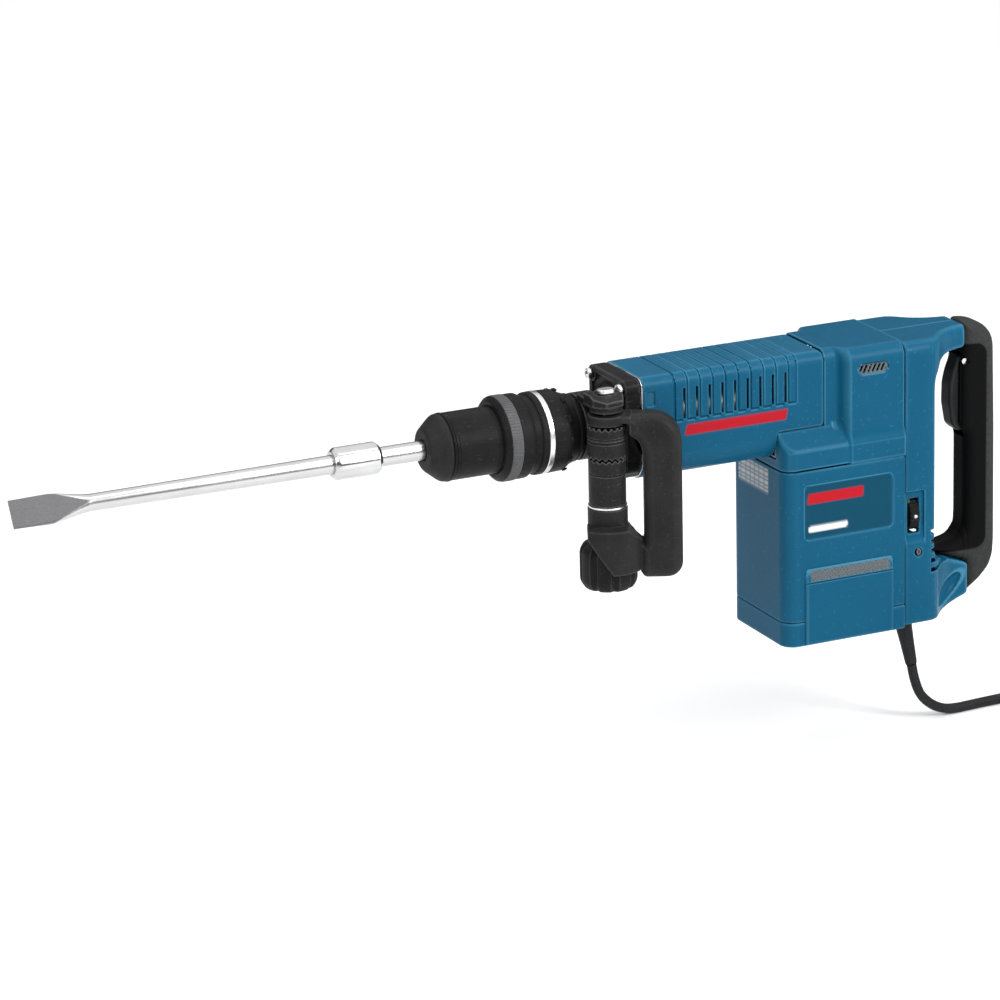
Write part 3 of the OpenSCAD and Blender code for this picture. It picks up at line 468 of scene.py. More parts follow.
def bright_steel(name, low_tone, high_tone, roughness, stretch=(0.02, 1, 1), dark_trait=None):
    """Ground steel: fine lines along the stretch direction, cloudy reflections and dull spots."""
    finish = Finish(name, Metallic=1.0)
    lines = finish.noise(900, 3, stretch)
    cloud = finish.noise(30, 4)
    tone = finish.mix(lines * 0.5 + cloud * 0.5, rgba(*[low_tone] * 3), rgba(*[high_tone] * 3))
    rough = roughness + lines * 0.12 + (cloud - 0.5) * 0.1
    height = lines
    if dark_trait:
        dull = finish.attribute(dark_trait)
        pits = finish.noise(1300, 4)
        tone = finish.mix(dull, tone, finish.mix(pits, rgba(0.10, 0.10, 0.105),
                                                 rgba(0.25, 0.25, 0.26)))
        rough = rough + dull * 0.38
        height = lines + dull * pits * 3
    finish.surface(tone, rough, height, 0.03)
    return finish.material


shank_steel = bright_steel("forged_steel", 0.42, 0.62, 0.2, (0.02, 1, 1), "blasted")
chisel_bar = moulded("chisel_bar", chisel_field, (blade_tip, -14, -14), (shank_end, 14, 14),
                     (1.6, 0.8, 0.8), shank_steel, blasted=flat_amount)
fit(chisel_bar, "chisel_bit", "forged_steel", "chisel")


def collar_field(p):
    along, across, through = chisel_frame(p)
    sides = [np.abs(across * math.cos(a) + through * math.sin(a))
             for a in np.radians([0, 45, 90, 135])]
    ring = np.maximum(np.maximum(*sides[:2]), np.maximum(*sides[2:])) - 14.4
    cone = np.hypot(across, through) - 15 + np.maximum(0, np.abs(along + 268) - 19) * 0.8
    ring = both(both(ring, cone, 0.4), slab(along, -291, -245), 0.6)
    return cut(ring, np.hypot(across, through) - shank_radius(along) - 0.02)


collar_steel = bright_steel("chrome_collar", 0.25, 0.8, 0.1)
fit(moulded("chisel_collar", collar_field, (-291, -15, -15), (-245, 15, 15), 0.7, collar_steel),
    "chisel_bit", "forged_steel")

# ---------------------------------------------------------------- tool holder
# Quick change holder: a rubber dust cap over a black sleeve, a locking sleeve that slides back
# with a lighter grip band, and an angle ring with a bright turned band. All are moulded round.
def eased(points, radius, count=3):
    """A closed outline with each corner replaced by a short bend."""
    points, bent = np.asarray(points, float), []
    for before, here, after in zip(np.roll(points, 1, 0), points, np.roll(points, -1, 0)):
        legs = [before - here, after - here]
        reach = min(radius, *(0.45 * np.linalg.norm(leg) for leg in legs))
        ends = [here + leg / max(np.linalg.norm(leg), 1e-6) * reach for leg in legs]
        for t in np.linspace(0, 1, count + 1):
            bent.append((1 - t) ** 2 * ends[0] + 2 * t * (1 - t) * here + t * t * ends[1])
    return np.array(bent)


def turned(name, profile, paint, radius=0.5, sides=120):
    """A closed ring turned round the impact axis from (station, radius) corners."""
    outline_points = eased(profile, radius)
    legs = np.roll(outline_points, -1, 0) - outline_points
    if (outline_points[:, 0] * np.roll(outline_points[:, 1], -1)
            - np.roll(outline_points[:, 0], -1) * outline_points[:, 1]).sum() > 0:
        outline_points, legs = outline_points[::-1], -np.roll(legs[::-1], -1, 0)
    lean = np.column_stack([-legs[:, 1], legs[:, 0]])
    lean = lean * np.linalg.norm(legs, axis=1)[:, None] + np.roll(
        lean * np.linalg.norm(legs, axis=1)[:, None], 1, 0)
    lean /= np.maximum(np.linalg.norm(lean, axis=1), 1e-9)[:, None]
    n = len(outline_points)
    a = np.arange(sides)[:, None] * 2 * np.pi / sides
    x, r = outline_points[None, :, 0], outline_points[None, :, 1]
    points = np.stack([x + 0 * a, r * np.cos(a), r * np.sin(a)], axis=-1).reshape(-1, 3)
    normals = np.stack([lean[None, :, 0] + 0 * a, lean[None, :, 1] * np.cos(a),
                        lean[None, :, 1] * np.sin(a)], axis=-1).reshape(-1, 3)
    ring, spot = np.meshgrid(np.arange(sides), np.arange(n), indexing="ij")
    ring_next, spot_next = (ring + 1) % sides, (spot + 1) % n
    faces = np.stack([ring * n + spot, ring_next * n + spot, ring_next * n + spot_next,
                      ring * n + spot_next], axis=-1).reshape(-1, 4)
    return new_piece(name, points, faces, paint, normals)


def black_moulding(name, low, high, roughness, grain, shine=0.3, scuff_and_highlight=0.05):
    """Black nylon: clouded tone, fine grain, a few dull scuffs, and a painted highlight lightening
    the outer edges.
    """
    finish = Finish(name, Specular_IOR_Level=shine * 0.16)
    cloud, speck = finish.noise(45, 4), finish.noise(420, 3)
    tone = finish.mix(cloud, rgba(*[low] * 3), rgba(high, high, high * 1.05))
    scratch = finish.noise(130, 5, (1, 7, 7)) > 0.66
    tone = finish.mix(scratch * 0.35 + (speck > 0.68) * 0.3, tone, rgba(scuff_and_highlight, scuff_and_highlight, scuff_and_highlight))
    # painted highlight: the outer edges are lightened and made a little glossier
    painted_highlight = (finish.attribute("rim") * (0.4 + cloud)).clamp() * 0.55
    tone = finish.mix(painted_highlight, tone, rgba(scuff_and_highlight * 1.4, scuff_and_highlight * 1.4, scuff_and_highlight * 1.45))
    rough = roughness + (cloud - 0.5) * 0.16 - painted_highlight * 0.12
    finish.surface(tone, rough, finish.noise(grain, 3) + speck * 0.4, 0.09)
    return finish.material


rubber_cap = black_moulding("dust_cap_rubber", 0.012, 0.028, 0.5, 1500, 0.35, 0.07)
ring_black = black_moulding("ring_black", 0.004, 0.012, 0.3, 2200, 0.45, 0.07)
sleeve_black = black_moulding("sleeve_black", 0.006, 0.016, 0.42, 1100, 0.35, 0.06)
band_grey = black_moulding("band_grey", 0.07, 0.12, 0.45, 1600, 0.4, 0.22)
bright_band = bright_steel("bright_band", 0.5, 0.85, 0.24, (1, 0.04, 0.04))

bore, hub = 23.45, 31
dust_cap = [(-202, 9.5), (-202, 17.5), (-200.6, 20.2), (-189.5, 29.2), (-187, 30.7),
            (-184, 31), (-184, bore), (-191, bore), (-191, 9.5)]
cap_ring = [(-184, bore), (-184, hub - 0.7), (-183.5, hub - 0.7), (-183, hub + 0.4),
            (-181.6, hub + 0.5), (-181.1, hub - 0.5), (-180.4, hub - 0.5), (-180, hub),
            (-178, hub), (-178, bore)]
front_sleeve = [(-178, bore), (-178, hub - 0.4), (-177.2, hub - 0.1), (-139.5, hub - 0.1),
                (-139, hub - 0.7), (-137.8, hub - 0.7), (-137.3, hub - 0.1),
                (-113.5, hub - 0.1), (-113.5, bore)]

lock_front, lock_rear, lock_r = -135, -105.5, 39
band_front, band_rear = lock_front + 5, lock_front + 16
locking_sleeve = [(lock_front, hub), (lock_front, lock_r - 4.4), (lock_front + 0.8, lock_r - 3.2),
                  (lock_front + 3, lock_r - 0.9), (lock_front + 4, lock_r),
                  (band_front, lock_r), (band_front, lock_r - 1), (band_rear, lock_r - 1),
                  (band_rear, lock_r), (lock_rear - 3.5, lock_r), (lock_rear - 1.4, lock_r - 1),
                  (lock_rear, lock_r - 1.9), (lock_rear, 36.6), (-119.5, 36.6), (-119.5, hub)]
grip_band = [(band_front + 0.1, lock_r - 1), (band_front + 0.1, lock_r - 0.2),
             (band_front + 1, lock_r + 0.2), (band_rear - 1, lock_r + 0.2),
             (band_rear - 0.1, lock_r - 0.2), (band_rear - 0.1, lock_r - 1)]

vario_front, vario_rear, vario_r, neck_r = -98.5, -53, 38, 27
angle_ring = [(-107.5, neck_r + 0.1), (-107.5, 36), (vario_front, 36), (vario_front, 37.2),
              (vario_front + 1.5, vario_r), (vario_front + 5.6, vario_r),
              (vario_front + 6, vario_r - 0.8), (vario_front + 11, vario_r - 0.8),
              (vario_front + 11.4, vario_r), (vario_front + 16, vario_r - 0.1),
              (-72, vario_r - 0.5), (-69, vario_r - 1.8), (-66, vario_r - 4),
              (-62, 32.6), (-60.4, 32), (-59.8, 31), (-58.2, 31), (-57.6, 31.6),
              (-54.6, 30.6), (vario_rear, 29.6), (vario_rear, neck_r + 0.1)]
steel_band = [(vario_front + 6, vario_r - 0.8), (vario_front + 6, vario_r + 0.1),
              (vario_front + 6.6, vario_r + 0.3), (vario_front + 10.4, vario_r + 0.3),
              (vario_front + 11, vario_r + 0.1), (vario_front + 11, vario_r - 0.8)]

for name, profile, paint, bend, body, slot, node in (
        ("dust_cap_skirt", dust_cap, rubber_cap, 1.4, "holder", "dust_rubber", "dust_cap"),
        ("cap_clip_ring", cap_ring, ring_black, 0.25, "holder", "black_plastic", "cap_ring"),
        ("holder_front_sleeve", front_sleeve, sleeve_black, 0.3, "holder", "black_plastic",
         "front_sleeve"),
        ("locking_sleeve_body", locking_sleeve, sleeve_black, 0.9, "sleeve", "black_plastic",
         "locking_sleeve"),
        ("locking_sleeve_band", grip_band, band_grey, 0.4, "sleeve", "grey_band", "sleeve_band"),
        ("angle_ring_body", angle_ring, sleeve_black, 0.4, "angle_ring", "black_plastic",
         "vario_ring"),
        ("angle_ring_band", steel_band, bright_band, 0.15, "angle_ring", "chrome_band",
         "vario_band")):
    fit(turned(name, profile, paint, bend), body, slot, node)


def paint_nodes(paint, *names):
    """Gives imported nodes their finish, their shape untouched."""
    for name in names:
        parts[name].data.materials.clear()
        parts[name].data.materials.append(paint)


class Copies:
    """A small solid and the node tree that repeats it, with a named input for each size."""

    def __init__(self, name, points, faces, paint, **sizes):
        self.piece = new_piece(name, np.asarray(points) - barrel_origin, faces, paint)
        self.paint = paint
        self.tree = bpy.data.node_groups.new(name, "GeometryNodeTree")
        self.socket("Pattern", "INPUT", "Geometry")
        for label, size in sizes.items():
            kind = {int: "Int", float: "Float"}.get(type(size), "Vector")
            self.socket(label, "INPUT", kind).default_value = size
        self.socket("Pieces", "OUTPUT", "Geometry")
        self.entry = self.tree.nodes.new("NodeGroupInput").outputs

    def socket(self, label, way, kind):
        return self.tree.interface.new_socket(label, in_out=way, socket_type="NodeSocket" + kind)

    def step(self, kind, sources, **settings):
        made = self.tree.nodes.new(kind)
        for key, value in settings.items():
            setattr(made, key, value)
        for key, source in sources.items():
            if isinstance(source, bpy.types.NodeSocket):
                self.tree.links.new(source, made.inputs[key])
            else:
                made.inputs[key].default_value = source
        return made.outputs[0]

    def settled(self, copies):
        """Realizes and paints the copies, and keeps the result as the piece's plain mesh."""
        solid = self.step("GeometryNodeRealizeInstances", {"Geometry": copies})
        painted = self.step("GeometryNodeSetMaterial", {"Geometry": solid, "Material": self.paint})
        self.tree.links.new(painted, self.tree.nodes.new("NodeGroupOutput").inputs[0])
        repeat = self.piece.modifiers.new("repeat", "NODES")
        repeat.node_group = self.tree
        for item in self.tree.interface.items_tree:
            if item.in_out == "INPUT" and hasattr(item, "default_value"):
                size = item.default_value
                repeat[item.identifier] = size if isinstance(size, (int, float)) else tuple(size)
        result = bpy.data.meshes.new_from_object(
            self.piece.evaluated_get(bpy.context.evaluated_depsgraph_get()))
        self.piece.modifiers.clear()
        self.piece.data = result
        return self.piece


def repeat_round(name, points, faces, paint, count, reach, axis_turn, middle):
    """Copies one small solid round a circle, each turned to face outwards, as one mesh."""
    copies = Copies(name, points, faces, paint, Count=count, Reach=reach / 1000,
                    Turn=axis_turn, Middle=tuple(metres(middle)))
    size = copies.entry
    circle = copies.step("GeometryNodeMeshCircle",
                         {"Vertices": size["Count"], "Radius": size["Reach"]})
    place = copies.step("GeometryNodeInputPosition", {})
    outwards = copies.step("FunctionNodeAlignRotationToVector", {"Vector": place}, axis="X",
                           pivot_axis="Z")
    ring = copies.step("GeometryNodeInstanceOnPoints",
                       {"Points": circle, "Instance": size["Pattern"], "Rotation": outwards})
    return copies.settled(copies.step(
        "GeometryNodeTransform",
        {"Geometry": ring, "Translation": size["Middle"], "Rotation": size["Turn"]}))


def bevelled_bar(x0, x1, y0, y1, z0, z1, b):
    """A bar with its edges along X taken off, pointing out along +X from its own origin."""
    across = [(y0 + b, z0), (y1 - b, z0), (y1, z0 + b), (y1, z1 - b), (y1 - b, z1), (y0 + b, z1),
              (y0, z1 - b), (y0, z0 + b)]
    points = [(x, y, z) for x in (x0, x1) for y, z in across]
    sides = [(i, (i + 1) % 8, 8 + (i + 1) % 8, 8 + i) for i in range(8)]
    return points, sides + [tuple(range(7, -1, -1)), tuple(range(8, 16))]


knurl_points, knurl_faces = bevelled_bar(-0.4, 0.45, -0.55, 0.55, -4.6, 4.6, 0.3)
knurls = repeat_round("locking_sleeve_knurl", knurl_points, knurl_faces, band_grey, 84,
                      lock_r + 0.05, (0, math.pi / 2, 0),
                      ((band_front + band_rear) / 2, 0, 0))
fit(knurls, "sleeve", "grey_band")
nub_points, nub_faces = bevelled_bar(-0.5, 0.9, -3.2, 3.2, -1.6, 1.6, 0.5)
nubs = repeat_round("angle_ring_grips", nub_points, nub_faces, sleeve_black, 12,
                    vario_r - 0.5, (0, math.pi / 2, 0), (-70.5, 0, 0))
fit(nubs, "angle_ring", "black_plastic")

holder_steel = bright_steel("ground_holder", 0.35, 0.5, 0.3)
paint_nodes(holder_steel, "tool_holder", "locking_segments", "lock_spring")

# ---------------------------------------------------------------- front housing
# Black painted casting that carries the holder: a long neck for the clamp and the angle ring, and
# a thick flange screwed to the barrel cover's front with four socket screws over a thin gasket.
def ring_field(p, x0, x1, outer, inner, fillet=0.0):
    reach = np.hypot(p[1], p[2])
    return both(both(reach - outer, slab(p[0], x0, x1), fillet), inner - reach)


def section_field(p, half, low, high, top_radius, foot_radius):
    """A cross section with its own corner radius above and below."""
    middle = (low + high) / 2
    radius = np.where(p[2] > middle, top_radius, foot_radius)
    return round_box(p[1], p[2] - middle, half, (high - low) / 2, radius)


screw_spots = [(side * 31.0, height) for side in (-1, 1) for height in (38.0, -35.0)]


def front_field(p):
    flange = both(section_field(p, 38, -50, 46, 9, 22), slab(p[0], -17, -1.2), 1.6)
    flange = cut(flange, both(section_field(p, 32, -43, 40, 6, 18), slab(p[0], -30, -14.8)), 0.8)
    for across, height in screw_spots:
        boss = both(np.hypot(p[1] - across, p[2] - height) - 7.6, slab(p[0], -17.3, -3), 0.8)
        flange = join(flange, boss, 1.2)
    neck = ring_field(p, -96, -10, 27, 0)
    collar = both(np.hypot(p[1], p[2]) - 34 - (p[0] + 17) * 0.9, slab(p[0], -21, -2))
    body = join(join(flange, neck, 0.8), collar, 2.5)
    for angle in range(30, 360, 60):
        a = math.radians(angle)
        fin = np.abs(-p[1] * math.sin(a) + p[2] * math.cos(a)) - 1.4
        reach = p[1] * math.cos(a) + p[2] * math.sin(a)
        body = join(body, both(both(fin, slab(reach, 20, 40)),
                               both(slab(p[0], -19.5, -4), reach - 40 - p[0])), 1.2)
    for x in (-27, -23):
        body = join(body, ring_field(p, x, x + 1.6, 28.2, 0, 0.3))
    body = cut(body, np.maximum(np.hypot(p[1], p[2]) - 23.5, p[0] + 16))
    body = cut(body, np.maximum(np.hypot(p[1], p[2]) - 27, -15 - p[0]))
    for across, height in screw_spots:
        body = cut(body, np.hypot(p[1] - across, p[2] - height) - 3.02)
    return body


casting_black = black_moulding("casting_black", 0.006, 0.02, 0.36, 500, 0.3, 0.09)
front_casting = moulded("front_casting", front_field, (-96, -39, -51), (0, 39, 47),
                        (1.0, 1.1, 1.1), casting_black)
fit(front_casting, "housing", "black_casting", "front_housing")


def gasket_field(p):
    rim = section_field(p, 38.4, -51, 46.4, 9.4, 22.4)
    return both(both(rim, slab(p[0], -1.15, -0.05)), -rim - 5)


gasket_alloy = bright_steel("gasket_alloy", 0.45, 0.7, 0.35)
fit(moulded("front_gasket", gasket_field, (-1.2, -39, -52), (0, 39, 47), (0.35, 1.4, 1.4),
            gasket_alloy), "housing", "case_alloy")

screw_steel = bright_steel("screw_zinc", 0.55, 0.8, 0.25)


def socket_screw(head_r, head_h, socket_r, shank_r, shank_l, sides=24):
    """Cap screw along +X with a rounded head at -X, a blind hexagon in it and a plain shank."""
    rings = [(-0.35 * head_h, socket_r, 6), (-head_h, socket_r, 6),
             (-head_h, socket_r * 1.12, sides), (-head_h, head_r - 0.5, sides),
             (-head_h + 0.5, head_r, sides), (-0.1, head_r, sides), (0, head_r - 0.2, sides),
             (0, shank_r, sides), (shank_l - 0.6, shank_r, sides),
             (shank_l, shank_r - 0.6, sides)]
    points, faces = [], []
    for x, r, corners in rings:
        for i in range(sides):
            a = 2 * math.pi * i / sides
            side_a = math.pi / corners if corners == 6 else 0
            hexed = r / math.cos((a + side_a) % (2 * side_a) - side_a) * math.cos(side_a) \
                if corners == 6 else r
            points.append((x, hexed * math.cos(a), hexed * math.sin(a)))
    for k in range(len(rings) - 1):
        for i in range(sides):
            j = (i + 1) % sides
            faces.append((k * sides + i, k * sides + j, (k + 1) * sides + j, (k + 1) * sides + i))
    faces.append(tuple(range(sides - 1, -1, -1)))
    faces.append(tuple((len(rings) - 1) * sides + i for i in range(sides)))
    return points, faces


def repeat_at(name, points, faces, paint, spots):
    """Copies one small solid to a list of places, as one mesh."""
    places = {f"Place{i + 1}": tuple(metres(spot)) for i, spot in enumerate(spots)}
    copies = Copies(name, points, faces, paint, **places)
    dots = copies.tree.nodes.new("GeometryNodeJoinGeometry")
    for label in places:
        dot = copies.step("GeometryNodePoints", {"Position": copies.entry[label]})
        copies.tree.links.new(dot, dots.inputs[0])
    return copies.settled(copies.step(
        "GeometryNodeInstanceOnPoints",
        {"Points": dots.outputs[0], "Instance": copies.entry["Pattern"]}))


screw_points, screw_faces = socket_screw(5, 5, 2.9, 3, 16)
flange_screws = repeat_at("flange_cap_screws", screw_points, screw_faces, screw_steel,
                          [(-17.4, across, height) for across, height in screw_spots])
fit(flange_screws, "housing", "screw_steel", "flange_screws")

# ---------------------------------------------------------------- side handle
# A steel band clamps the handle's column to the neck. The black handle is one moulding: a D grip
# over a round column, with a shield wrapped round the lobed knob that tightens the long bolt.
column_x, column_y, column_r = -42, -48.5, 17.5
side_turn = math.radians(-25)


def at_column(p):
    return p[0] - column_x, p[1] - column_y, p[2]


def at_grip(p):
    """Along the handle's reach, across it, and height, with the column as the origin."""
    x, y, z = at_column(p)
    return (x * math.cos(side_turn) + y * math.sin(side_turn),
            -x * math.sin(side_turn) + y * math.cos(side_turn), z)


def outline_field(points, first, second):
    """Distance to a closed outline, below nought inside it."""
    near, inside = np.inf, False
    for (ax, ay), (bx, by) in zip(points, np.roll(points, -1, 0)):
        ex, ey = bx - ax, by - ay
        share = np.clip(((first - ax) * ex + (second - ay) * ey)
                        / max(ex * ex + ey * ey, 1e-9), 0, 1)
        near = np.minimum(near, (first - ax - ex * share) ** 2 + (second - ay - ey * share) ** 2)
        crosses = ((ay > second) != (by > second)) \
            & (first < ex * (second - ay) / (ey or 1e-9) + ax)
        inside = inside ^ crosses
    return np.where(inside, -1, 1) * np.sqrt(near)


def post_field(p, z0, z1, radius, fillet=0.0):
    x, y, z = at_column(p)
    return both(np.hypot(x, y) - radius, slab(z, z0, z1), fillet)


def clamp_field(p):
    x, y, z = at_column(p)
    strap = ring_field(p, column_x - 9.8, column_x + 9.8, 31, 27.12, 0.8)
    upper = both(both(slab(p[0], column_x - 9.8, column_x + 9.8), slab(p[1], column_y, -8)),
                 slab(z, 26.5, 33))
    upper = join(upper, post_field(p, 26.5, 33, 15, 1))
    return cut(join(strap, upper, 1.0), np.maximum(np.hypot(x, y) - 5.02,
                                                   27.12 - np.hypot(p[1], p[2])))


fit(moulded("clamp_strap", clamp_field, (-60, -65, -32), (-26, 32, 34), 0.9, casting_black),
    "clamp", "black_casting", "clamp_band")

plate_outline = eased([(-17.5, -9), (-8, -18.5), (10, -15.5), (15.5, -4), (15.5, 11), (-17.5, 11)],
                      1.5)


def plate_field(p):
    x, y, z = at_column(p)
    slope_off = (z - 43) + np.maximum(0, -(y + 2) * 0.3) + np.maximum(0, (x - 2) * 0.12)
    plate = both(outline_field(plate_outline, x, y), np.maximum(33.05 - z, slope_off), 0.9)
    plate = cut(plate, np.hypot(x, y) - 5.02)
    return cut(plate, both(np.hypot(x, y) - 10.5, 42 - z), 0.4)


fit(moulded("clamp_top_plate", plate_field, (-60, -68, 33), (-26, -37, 44), 0.7, casting_black),
    "clamp", "black_casting", "clamp_plate")


def bolt_field(p):
    x, y, z = at_column(p)
    shank = both(np.hypot(x, y) - 5, slab(z, -117, 43.5), 0.5)
    head = both(round_box(x, y, 7.9, 5.6, 5), slab(z, 42.2, 46.8), 1.2)
    return join(shank, head)


fit(moulded("clamp_long_bolt", bolt_field, (-51, -57, -117), (-33, -40, 47), (0.8, 0.8, 1.2),
            screw_steel), "clamp", "screw_steel", "clamp_bolt")

ring_grain = black_moulding("detent_black", 0.008, 0.02, 0.36, 900, 0.35, 0.10)


def detent_field(p):
    x, y, z = at_column(p)
    reach = np.hypot(x, y)
    wave = np.cos(np.arctan2(y, x) * 18)
    body = both(reach - column_r, slab(z, -15.6 - 1.1 * wave, 12.3 + 1.1 * wave), 0.3)
    body = cut(body, ring_field(p, -80, 0, 31.3, 0))
    groove = both(reach - 30, join(slab(z, -1.6, 0.2), slab(z, 2.4, 3)))
    body = cut(body, np.maximum(groove, column_r - 0.8 - reach))
    return cut(body, reach - 5.02)


fit(moulded("detent_crown", detent_field, (-61, -67, -18), (-23, -30, 14), 0.7, ring_grain),
    "clamp", "black_plastic", "detent_ring")


def column_field(p):
    x, y, z = at_column(p)
    reach = np.hypot(x, y)
    wave = np.cos(np.arctan2(y, x) * 18)
    body = both(reach - (column_r - 0.4), slab(z, -60.7, -18.0 - 1.0 * wave), 0.5)
    groove = np.maximum(slab(z, -31.6, -30.8), column_r - 1.1 - reach)
    return cut(cut(body, groove), reach - 5.6)


fit(moulded("column_spacer", column_field, (-61, -67, -61), (-23, -30, -16), 0.8, ring_grain),
    "side_grip", "black_plastic", "column_sleeve")


def washer_field(p):
    x, y, z = at_column(p)
    reach = np.hypot(x, y)
    return both(both(reach - column_r - 0.35, slab(z, -63, -61), 0.3), 5.6 - reach)


fit(moulded("side_bright_washer", washer_field, (-61, -67, -63), (-23, -30, -61),
            (0.8, 0.8, 0.45), bright_band), "clamp", "chrome_band", "side_washer")

side_in, side_out, side_top, side_bot = 32.5, 67.5, 24.5, -129.5
knob_r, knob_top, cup_bot = 26.5, -97.0, -94.5
arc = np.radians(np.arange(0, 91, 15))
grip_outline = eased(
    [(0, 16), (0, side_top)]
    + [(side_out - 26 + 26 * math.sin(a), side_top - 26 + 26 * math.cos(a)) for a in arc]
    + [(side_out - 14 + 14 * math.cos(a), side_bot + 14 - 14 * math.sin(a)) for a in arc]
    + [(knob_r + 6, side_bot), (knob_r + 1.5, side_bot + 7), (knob_r + 1.5, cup_bot - 1),
       (0, cup_bot - 1), (0, cup_bot + 34), (side_in - 12, cup_bot + 12),
       (side_in - 1, cup_bot - 3), (side_in, cup_bot + 2)]
    + [(side_in - 20 + 20 * math.cos(a), side_top - 38 + 20 * math.sin(a)) for a in arc[:4]]
    + [(column_r + 1.5, side_top - 19), (column_r + 1.5, 16)], 3)


def handle_field(p):
    along, across, z = at_grip(p)
    reach = np.hypot(*at_column(p)[:2])
    loop = outline_field(grip_outline, along, z)
    grip = both(loop, np.abs(across) - 15, 9)
    thin = both(loop + 1, np.abs(across) - 14.0, 3)
    grip = np.where(along > 22, grip, thin)
    eye = post_field(p, 14.6, side_top - 0.8, column_r - 0.6, 1)
    cup = post_field(p, cup_bot - 1, -63.2, column_r + 0.8, 0.8)
    body = join(join(grip, eye, 2), cup, 2.5)
    high, low = knob_top + 18, knob_top - 24
    shield = np.maximum(reach - knob_r - 6, slab(z, low, high))
    blade = outline_field([(-19, high), (-19, high - 9), (4, low), (knob_r + 7, low),
                           (knob_r + 7, cup_bot + 1), (18, high)], along, z)
    shield = both(shield, np.maximum(blade, across + 4), 1.2)
    body = join(body, shield, 2)
    body = cut(body, np.maximum(reach - knob_r - 1, z - cup_bot), 0.8)
    return cut(body, reach - 5.6)


grip_black = black_moulding("side_handle_black", 0.010, 0.024, 0.42, 800, 0.35, 0.06)
fit(moulded("side_handle_grip", handle_field, (-75, -95, -131), (24, -20, 26), 1.25, grip_black),
    "side_grip", "black_plastic", "side_handle")


def knob_field(p):
    x, y, z = at_column(p)
    reach, angle = np.hypot(x, y), np.arctan2(y, x) - math.radians(10)
    flute = np.abs(((angle * 8 / (2 * np.pi)) % 1) - 0.5) * 2
    side = reach - (knob_r - 0.2) + 2.6 * np.clip(1 - flute * 2.6, 0, 1) ** 0.7
    middle = knob_top - 21.5
    barrel = np.maximum(0, np.abs(z - middle) - 11) ** 2 * 0.045
    knob = both((side + barrel) * 0.8, slab(z, knob_top - 43, knob_top), 2.5)
    knob = join(knob, both(reach - 12, slab(z, knob_top - 2, knob_top + 2), 0.4), 0.6)
    knob = cut(knob, both(reach - 15, knob_top - 41 - z), 0.8)
    return cut(knob, np.maximum(reach - 5.05, knob_top - 20.4 - z))


fit(moulded("clamp_turn_knob", knob_field, (-70, -76, -140), (-15, -21, -95), 0.95,
            sleeve_black), "knob", "black_plastic", "clamp_knob")

# ---------------------------------------------------------------- barrel cover
# Long blue nylon shell over the hammer barrel: grooves run over the top and down both sides, with
# a cooling slot between each pair. A plain red stripe is printed on each side.
def blue_moulding(name, marks=None, roughness=0.34):
    """Teal nylon with a satin grain: clouded tone, a painted highlight on the outer edges, printed
    marks.
    """
    finish = Finish(name, Specular_IOR_Level=0.07)
    cloud, fine = finish.noise(14, 4), finish.noise(260, 3)
    tone = finish.mix(cloud, rgba(0.0020, 0.064, 0.128), rgba(0.0035, 0.080, 0.152))
    tone = finish.mix((fine > 0.66) * 0.25, tone, rgba(0.03, 0.17, 0.3))
    # painted highlight: the outer edges are lightened towards a pale blue
    painted_highlight = (finish.attribute("rim") * (0.35 + cloud)).clamp() * 0.5
    tone = finish.mix(painted_highlight, tone, rgba(0.09, 0.31, 0.46))
    scratch = (finish.noise(90, 5, (1, 6, 8)) > 0.70) * 0.3
    tone = finish.mix(scratch, tone, rgba(0.05, 0.2, 0.33))
    rough = roughness + (cloud - 0.5) * 0.14 + scratch * 0.2
    for mark, colour in (marks or {}).items():
        printed = (finish.attribute(mark) - (fine > 0.74) * 0.12).clamp()
        tone = finish.mix(printed, tone, rgba(*colour))
    finish.surface(tone, rough, finish.noise(950, 3) + fine * 0.5, 0.06)
    return finish.material


cover_half, cover_top, cover_bot, barrel_l, motor_x, skirt = 39, 47, -52, 186, 137, -24
groove_first, slot_pitch, slot_count = 32, 13, 9
grooves = [groove_first + i * slot_pitch for i in range(slot_count + 1)]
cover_side = eased([(-30, cover_top), (barrel_l, cover_top), (barrel_l, skirt + 0.4),
                    (motor_x - 0.4, skirt + 0.4), (motor_x - 0.4, cover_bot), (-30, cover_bot)], 5)


def barrel_field(p):
    outer = section_field(p, cover_half, cover_bot, cover_top, 10, 24)
    body = both(outer, slab(p[0], 0, barrel_l - 0.3), 1.2)
    body = both(body, outline_field(cover_side, p[0], p[2]), 0.8)
    body = cut(body, section_field(p, 36, -49, 44, 7, 21))
    skin = -outer - 0.9
    for i, x in enumerate(grooves):
        line = both(np.abs(p[0] - x) - 0.6, 2.5 - p[2])
        foot = box_field(p, (x - 0.6, -60, 1.9), (x + 8, 60, 3.1))
        body = cut(body, np.maximum(np.minimum(line, foot), skin))
        if i < slot_count:
            slot = round_box(p[0] - x - 10.2, p[2] - 18.2, 1.2, 14.5, 1.15)
            body = cut(body, np.maximum(slot, 30 - np.abs(p[1])))
    last = both(np.abs(p[0] - grooves[-1] - 8) - 0.4, 2.5 - p[2])
    body = cut(body, np.maximum(last, -outer - 0.5))
    pocket = round_box(p[0] - 8, p[2] - 27, 4, 7, 2)
    body = cut(body, np.maximum(pocket, 37.6 - np.abs(p[1])), 0.5)
    return body


def cover_stripe(p):
    lean = p[0] - p[2] * 0.25
    field = both(slab(lean, 45, 149), slab(p[2], -12.5, -2.5 + 0 * p[0]))
    return inked(field, 0.8) * (np.abs(p[1]) > cover_half - 1)


